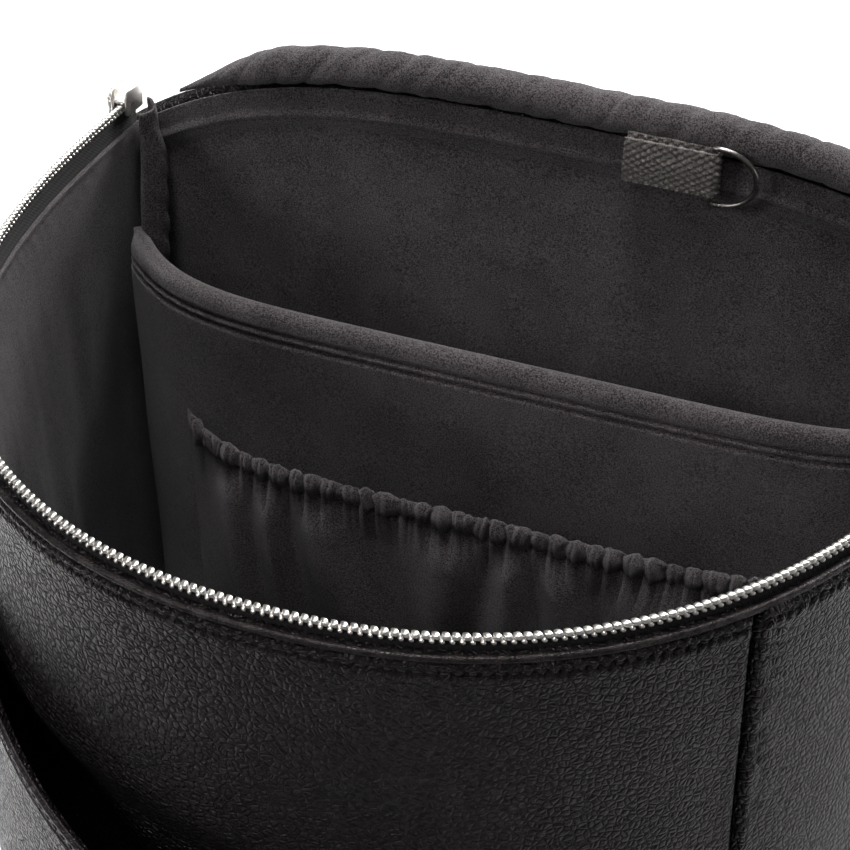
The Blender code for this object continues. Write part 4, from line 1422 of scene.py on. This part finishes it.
def make_lid():
    def shell(u, v):
        p = lid_point(u, v, 4.2 * MM, 0.7 * MM - LID_THICK / 2)
        rim = 1 - v
        p.z += 0.5 * MM * fbm(p.x * 16, p.y * 16, 3.0) * smooth(0, 0.2, rim) * smooth(0, 0.15, v)
        p.z -= 1.1 * MM * bell(rim, 0.006) + 0.4 * MM * bell(rim - 0.022, 0.006)
        pucker = crumple(u * 600 * MM, 3.2 * MM, 91.0) - 0.5
        p.z += 0.12 * MM * pucker * between(0.02, 0.03, 0.03, 0.06, rim)
        return p

    obj = net("lid_leather", shell, spaced(300), uneven((0.08, 8), (0.8, 50), (0.12, 40)), LEATHER,
              wear=0.4)
    thicken(obj, 3.0 * MM)
    lid_made(obj, "leather", "lid_panel")
    lid_made(stitches("lid_top_stitches", on_surface(shell, 0.978), None), "leather")

    def lining(u, v):
        p = lid_point(u, v * 0.975, -2.2 * MM, LID_THICK / 2 + 1.5 * MM)
        inside = smooth(0, 0.1, v) * smooth(0, 0.08, 1 - v) * smooth(0, 0.05, min(u, 1 - u))
        soft = 0.5 + 0.5 * clamp(fbm(p.x * 22, p.y * 22, 9.0), -1, 1)
        p.z -= 2.6 * MM * soft * inside
        p.z += 0.9 * MM * bell(1 - v - 0.02, 0.006)
        return p

    obj = net("lid_lining_cloth", lining, spaced(240), uneven((0.1, 10), (0.78, 50), (0.12, 30)),
              LINING)
    thicken(obj, 0.8 * MM, offset=-1.0)
    lid_made(obj, "lining", "lid_lining")
    row = on_surface(lining, 0.979, (0.01, 0.99), flip=-1.0)
    lid_made(stitches("lid_lining_stitches", row, None, *FINE_STITCH), "lining")

    frames = [(lambda a, b, u=u: lid_edge(u, a, b)) for u in spaced(420)]
    top = LID_HEIGHT - LID_THICK / 2 - 0.4 * MM
    band = [(1.4, 10.4), (3.9, 10.2), (4.35, 11.0), (4.15, 12.0), (4.35, 14.5), (4.3, 17.0),
            (3.6, top / MM), (1.4, top / MM)]
    obj = sweep("lid_band", frames, in_mm(band), LEATHER, wear=0.3)
    lid_made(obj, "leather", "lid_side_band")
    edge = [(1.5, 10.3), (1.4, 8.4), (1.9, 7.5), (2.8, 7.1), (3.6, 7.4), (4.1, 8.1), (4.05, 8.8),
            (4.4, 9.2), (4.6, 9.8), (4.3, 10.5), (3.4, 10.8)]
    obj = sweep("lid_rim_edge", frames, in_mm(edge), EDGE, wear=0.9)
    soften(obj)
    lid_made(obj, "leather", "lid_binding")
    tape = [(0.0, 15.0), (0.0, 7.4), (-0.2, 6.2), (0.05, 5.6), (0.4, 5.4), (0.8, 5.6), (1.0, 6.2),
            (0.8, 7.2), (1.2, 8.4), (0.8, 15.0)]
    lid_made(sweep("lid_tape", frames, in_mm(tape), TAPE), "webbing", "lid_zip_tape")
    make_teeth("lid_zip_teeth", lambda u: lid_edge(u, ZIP_OFF, 4.8 * MM), "lid", "lid_zip_chain",
               sign=-1.0, turn=LID_TURN)


# ---------------------------------------------------------------- back, handle and straps
def make_back():
    half_at = lambda z: wall_size(z, 4.2 * MM)[0]
    mid = (BACK_IN + BACK_OUT) / 2

    def face(u, v, side):
        top = CREST_Z - crest((2 * u - 1) * half_at(CREST_Z))
        z = mix(WALL_BOTTOM, top, v)
        x = (2 * u - 1) * (half_at(z) + 0.4 * MM)
        near = min(min(u, 1 - u) * 2 * half_at(z), (top - z), z - WALL_BOTTOM + 2 * MM)
        deep = (BACK_OUT - BACK_IN) / 2
        y = deep * shoulder(near, 4 * MM)
        if side > 0:
            y += 0.4 * MM * fbm(x * 14, z * 14) * smooth_mm(4, 20, near)
        return Vector((x, mid + side * y, z))

    us = uneven((0.03, 8), (0.94, 120), (0.03, 8))
    vs = uneven((0.02, 6), (0.94, 110), (0.04, 16))
    rows = [(v, 1) for v in vs] + [(v, -1) for v in reversed(vs[:-1])]
    last = len(rows) - 1
    obj = net("back_leather", lambda u, v: face(u, *rows[round(v * last)]), us, spaced(last),
              LEATHER)
    rework(obj.data, fill_holes)
    ride(obj, "bag", "leather", "back_panel")

    for name, side in (("left", -1), ("right", 1)):
        make_pad(name, side)

    for name, size, z, node in (
        ("handle_patch_leather", (118, 13), 390, "handle_patch"),
        ("strap_yoke_leather", (176, 30), 367, "strap_yoke"),
    ):
        w, h = size[0] * MM, size[1] * MM
        obj = plate(name, rounded(w, h, 4 * MM, 6), 2.0 * MM,
                    upright(0, BACK_OUT + 1.4 * MM, z * MM), LEATHER, bevel=0.7 * MM, segments=3)
        ride(obj, "bag", "leather", node)
        outline = [Vector((a, BACK_OUT + 2.4 * MM, z * MM + b)) for a, b in
                   rounded(w - 4 * MM, h - 4 * MM, 3 * MM, 8)]
        outline.append(outline[0])
        row = [(p, Vector((0, 1, 0))) for p in densify(outline, 2 * MM)]
        stitches(name.replace("leather", "stitches"), row, "bag")


def densify(points, step):
    out = [points[0]]
    for a, b in zip(points, points[1:]):
        n = max(int((b - a).length / step), 1)
        out += [a.lerp(b, k / n) for k in range(1, n + 1)]
    return out


def make_pad(name, side):
    """An air-mesh pad: quilted in three cells, full in the middle and sewn down at its edge."""
    w, h = PAD_SIZE
    cx, cz = side * PAD_PLACE[0], PAD_PLACE[1]

    def point(u, v):
        a, b = 2 * u - 1, 2 * v - 1
        # a square mapped to a rounded rectangle
        x = a * w / 2 * (1 - 0.045 * b**8)
        z = b * h / 2 * (1 - 0.016 * a**8)
        edge = min(w / 2 * (1 - abs(a)), h / 2 * (1 - abs(b)))
        full = shoulder(edge, 11 * MM)
        y = 1.4 * MM + 7.0 * MM * full
        for channel in (-PAD_CHANNEL, PAD_CHANNEL):
            y -= 4.4 * MM * bell(z - channel, 3.4 * MM) * smooth_mm(1, 10, edge)
        y += 0.25 * MM * fbm(x * 60, z * 60, side) * full
        return Vector((cx + x, BACK_OUT + 0.2 * MM + y, cz + z))

    obj = net("back_pad_mesh_" + name, point, spaced(70), spaced(180), MESH)
    pinned = []
    for p in obj.data.vertices:
        x, z = p.co.x - cx, p.co.z - cz
        border = min(w / 2 - abs(x), h / 2 - abs(z))
        seam = abs(abs(z) - PAD_CHANNEL)
        pinned.append(max(1 - smooth_mm(1.5, 4, border), 1 - smooth_mm(0.8, 2, seam)))
    fill_out(obj, pinned, 0.35)
    thicken(obj, 1.3 * MM)
    ride(obj, "bag", "back_mesh", "back_pad_" + name)
    outline = rounded(w - 2 * MM, h - 2 * MM, 14 * MM, 10)
    pts = [Vector((cx + a, BACK_OUT + 1.1 * MM, cz + b)) for a, b in outline]
    obj = tube("back_pad_piping_" + name, densify(pts + [pts[0]], 4 * MM)[:-1], 1.3 * MM, EDGE,
               closed=True, n=10, up=(0, 1, 0), wear=0.4)
    ride(obj, "bag", "leather")
    rows = []
    for channel in (-PAD_CHANNEL, PAD_CHANNEL):
        row = on_surface(point, (channel / (h / 2) + 1) / 2, (0.08, 0.92), 60, 0.01, -1.0)
        rows.append(stitches("row", row, None, 3.1, 2.2))
    ride(merged("back_pad_stitches_" + name, rows), "bag", "back_mesh")


def make_handle():
    pts = []
    for k in range(61):
        a = pi * k / 60
        x = -HANDLE_HALF * bent(cos(a), 0.7)
        pts.append(Vector((x, HANDLE_Y, HANDLE_Z - HANDLE_SAG * sin(a) ** 0.7)))
    pts = densify(pts, 1.2 * MM)
    n = len(pts)
    radii = []
    for k in range(n):
        end = min(k, n - 1 - k) / (n - 1)
        taper = mix(0.82, 1.0, smooth(0.0, 0.12, end))
        radii.append(HANDLE_R * taper + 0.06 * MM * sin(k * 0.9))
    obj = tube("carry_handle_leather", pts, radii, LEATHER, n=24, up=(0, 1, 0))
    ride(obj, "handle", "leather", "carry_handle")
    row = [(p + Vector((0, HANDLE_R - 0.05 * MM, 0)), Vector((0, 1, 0))) for p in pts[8:-8]]
    stitches("carry_handle_stitches", row, "handle", 3.4, 2.4, 0.32)


def strap_half(v):
    return mix(*STRAP_HALF, v**1.5) * MM


def strap_point(u, v, side):
    z = mix(STRAP_TOP, STRAP_END, v)
    half = strap_half(v)
    y = 91.5 * MM + 16 * MM * sin(pi * min(v * 1.1, 1) / 2) ** 0.55
    x = mix(52 * MM, 97 * MM, v**1.2)
    return Vector((side * (x + (2 * u - 1) * half), y, z))


def webbing_route():
    foot = Vector((ANCHOR_X, 87.0 * MM, 35.0 * MM))
    turn = Vector((BUCKLE.x, BUCKLE.y - 2.9 * MM, BUCKLE.z - 10.0 * MM))
    route = [foot, foot + Vector((-0.5 * MM, 3.0 * MM, 8 * MM))]
    start = route[-1].copy()
    for k in range(1, 13):
        s = k / 12
        p = start.lerp(turn, s)
        p.y += 2.5 * MM * sin(pi * s)
        route.append(p)
    slot_z, r = BUCKLE.z - 4.6 * MM, 3.1 * MM
    for k in range(1, 12):
        a = pi * k / 12
        route.append(Vector((BUCKLE.x, BUCKLE.y - r * cos(a),
                             slot_z - 2.2 * MM + 2.6 * MM * sin(a))))
    for k in range(9):
        route.append(Vector((BUCKLE.x, BUCKLE.y + r + k * 0.25 * MM, turn.z - k * 7 * MM)))
    return route


def make_strap(name, side):
    rows = 140

    def face(u, v, s):
        """The strap's padded body: s is +1 outside and -1 against the back."""
        p = strap_point(u, v, side)
        q = strap_point(u, min(v + 0.01, 1.0), side) - strap_point(u, max(v - 0.01, 0.0), side)
        n = Vector((0, q.z, -q.y)).normalized() * -1
        a = 2 * u - 1
        edge = (1 - abs(a)) * strap_half(v)
        end = min(v, 1 - v) * 200 * MM
        full = shoulder(min(edge, end), 5 * MM)
        out = mix(0.9 * MM, STRAP_THICK / 2, full)
        out -= 1.1 * MM * bell(edge - STRAP_INSET, 0.9 * MM) if end > 6 * MM else 0.0
        out += 0.12 * MM * fbm(p.x * 60, p.z * 60, s) * full
        return p + n * s * out

    us = spaced(44)
    loop = [(u, 1) for u in us] + [(u, -1) for u in reversed(us)]
    last = len(loop) - 1

    def point(u, v):
        a, s = loop[round(v * last)]
        return face(a, u, s)

    obj = net("shoulder_pad_" + name, point, spaced(rows), spaced(last), LEATHER)
    close_tube(obj, rows + 1, last + 1)
    stretch_between(obj, name, "leather", STRAP_END, STRAP_TOP, STRAP_END,
                    "shoulder_strap_" + name)
    lines = []
    for edge in (-1, 1):
        row = []
        for k in range(161):
            v = mix(0.03, 0.97, k / 160)
            half = strap_half(v)
            u = 0.5 + edge * 0.5 * (half - STRAP_INSET) / half
            p, q = face(u, v, 1), face(u, v, -1)
            row.append((p, (p - q).normalized()))
        lines.append(stitches("row", row, None, 3.2, 2.3))
    made = merged("shoulder_pad_stitches_" + name, lines)
    stretch_between(made, name, "leather", STRAP_END, STRAP_TOP, STRAP_END)

    pts = densify(webbing_route(), 1.5 * MM)
    end = len(pts) - 1

    def band(u, v):
        x, y, z = pts[round(v * end)]
        return Vector((side * (x + (2 * u - 1) * 14 * MM), y, z))

    obj = net("webbing_band_" + name, band, spaced(14), spaced(end), BAND)
    thicken(obj, 1.3 * MM, offset=0.0, bevel=0.3 * MM)
    stretch_between(obj, name, "webbing", 35 * MM, 128 * MM, 128 * MM, "strap_webbing_" + name)

    tab = [(-15, -11), (-14.2, -11.8), (14.2, -11.8), (15, -11), (17, 7), (16, 8.4), (-16, 8.4),
           (-17, 7)]
    obj = plate("strap_tab_" + name, in_mm(tab), 3.0 * MM,
                upright(side * ANCHOR_X, BACK_OUT + 1.9 * MM, ANCHOR_Z), LEATHER,
                bevel=0.8 * MM, segments=3)
    ride(obj, "bag", "leather", "strap_anchor_" + name)
    square = [(-12, -8.5), (12, -8.5), (13, 5), (-13, 5), (-12, -8.5)]
    square = [Vector((side * ANCHOR_X + a, BACK_OUT + 3.4 * MM, ANCHOR_Z + b))
              for a, b in in_mm(square)]
    row = [(p, Vector((0, 1, 0))) for p in densify(square, 1.5 * MM)]
    stitches("strap_tab_stitches_" + name, row, "bag", 2.9, 2.0)

    outline = rounded(42 * MM, 22 * MM, 4 * MM, 6)
    holes = [rounded(31 * MM, 4.4 * MM, 1.2 * MM, 4, (0, y)) for y in (4.8 * MM, -4.6 * MM)]
    place = upright(side * BUCKLE.x, BUCKLE.y, BUCKLE.z)
    obj = plate("ladder_buckle_" + name, outline, 3.4 * MM, place, PLASTIC, holes=holes,
                bevel=0.8 * MM, segments=3)
    ride(obj, "adjuster_" + name, "buckle", "strap_buckle_" + name)


# ---------------------------------------------------------------- base
def make_base():
    off = 4.6 * MM
    rear = BACK_OUT + off - 5 * MM

    def outline():
        pts = [wall_point(pi * k / 160, 0.0, off) for k in range(161)]
        pts = [Vector((p.x, min(p.y, rear), 0.0)) for p in pts]
        return pts + [Vector((mix(pts[-1].x, pts[0].x, k / 30), rear, 0.0)) for k in range(1, 30)]

    rim = densify(outline() + [outline()[0]], 3 * MM)[:-1]
    obj = tube("base_piping", [p + Vector((0, 0, 2.9 * MM)) for p in rim], 1.8 * MM, EDGE,
               closed=True, up=(0, 0, 1), wear=0.9)
    ride(obj, "bag", "leather")
    shape = [(p.x, p.y) for p in outline()]
    shape = [p for i, p in enumerate(shape) if (Vector(p) - Vector(shape[i - 1])).length > MM]
    obj = plate("base_leather", shape, 3.0 * MM, Matrix.Translation((0, 0, 1.5 * MM)), LEATHER,
                bevel=0.9 * MM, segments=3)
    ride(obj, "bag", "leather", "base_panel")
    for node, material in (("base_lining", LINING), ("base_board", BOARD)):
        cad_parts[node].data.materials.clear()
        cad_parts[node].data.materials.append(material)


# ---------------------------------------------------------------- camera, light and floor
def make_camera():
    turn, tilt, roll, distance = radians(20.42), radians(40.94), radians(-0.43), 0.600
    target = Vector((-0.0005, -0.0413, 0.400))
    back = Vector((sin(turn) * cos(tilt), -cos(turn) * cos(tilt), sin(tilt)))
    right = Vector((cos(turn), sin(turn), 0))
    up = back.cross(right)
    across = right * cos(roll) + up * sin(roll)
    above = up * cos(roll) - right * sin(roll)
    cam = bpy.data.cameras.new("camera")
    cam.sensor_width = 36.0
    cam.lens = 98.37
    cam.clip_start = 0.02
    obj = add_object("camera", cam)
    axes = Matrix((across, above, back)).transposed().to_4x4()
    obj.matrix_world = Matrix.Translation(target + back * distance) @ axes
    bpy.context.scene.camera = obj


def softbox(name, place, aim, size, power, spread):
    """An area light with a honeycomb that keeps its beam within the spread."""
    light = bpy.data.lights.new(name, "AREA")
    light.shape = "RECTANGLE"
    light.size, light.size_y = size
    light.energy = power
    light.spread = radians(spread)
    obj = add_object(name, light)
    obj.location = place
    obj.rotation_euler = (Vector(aim) - Vector(place)).to_track_quat("-Z", "Y").to_euler()


def make_stage():
    floor = net("floor", lambda u, v: Vector((mix(-6, 6, u), mix(-6, 6, v), 0)), spaced(4),
                spaced(4), make_floor())
    floor.location.z = -0.2 * MM
    for name, place, aim, size, watts, spread in (
        ("backdrop", (-0.1, 1.30, 1.7), (-0.1, 1.25, 0), (2.8, 1.2), 60, 55),
        ("left_floor", (-0.75, 0.10, 1.2), (-0.55, 0, 0), (0.5, 0.5), 2.5, 40),
        ("right_floor", (0.80, 0.05, 1.2), (0.60, 0, 0), (0.5, 0.5), 0.24, 40),
        ("right_side", (1.3, -0.1, 0.35), (0, -0.05, 0.30), (0.5, 0.6), 0.10, 40),
        ("top", (-0.05, -0.15, 1.7), (0, 0.02, 0.38), (0.4, 0.4), 0.42, 25),
        ("top_front", (0.0, -0.7, 1.4), (0, 0.02, 0.38), (0.4, 0.4), 0.03, 25),
        ("top_back", (0, 0.7, 1.5), (0, 0.05, 0.42), (0.8, 0.4), 0.86, 30),
        ("front_left", (-0.7, -0.8, 0.9), (-0.1, -0.1, 0.35), (0.4, 0.4), 0.22, 30),
        ("rear", (0.5, 1.7, 1.0), (0, 0.1, 0.22), (0.7, 0.7), 2.0, 35),
    ):
        softbox(name, place, aim, size, watts, spread)
    world = bpy.data.worlds.new("studio")
    world.use_nodes = True
    inputs = world.node_tree.nodes["Background"].inputs
    inputs["Color"].default_value = (1, 1, 1, 1)
    inputs["Strength"].default_value = 0.11
    scene = bpy.context.scene
    scene.world = world
    scene.view_settings.view_transform = "Standard"
    scene.view_settings.look = "None"


make_camera()
front_span = make_walls()
make_pocket(front_span)
make_rim()
make_body_zip()
make_body_lining()
make_back_lining()
make_divider()
make_gussets()
make_elastic_pocket()
make_roll()
make_hinge_cloth()
make_key_loop()
make_ring()
for end, sign in (("left", -1), ("right", 1)):
    make_slider(end, sign)
make_lid()
make_back()
make_handle()
for end, sign in (("left", -1), ("right", 1)):
    make_strap(end, sign)
make_base()
make_stage()
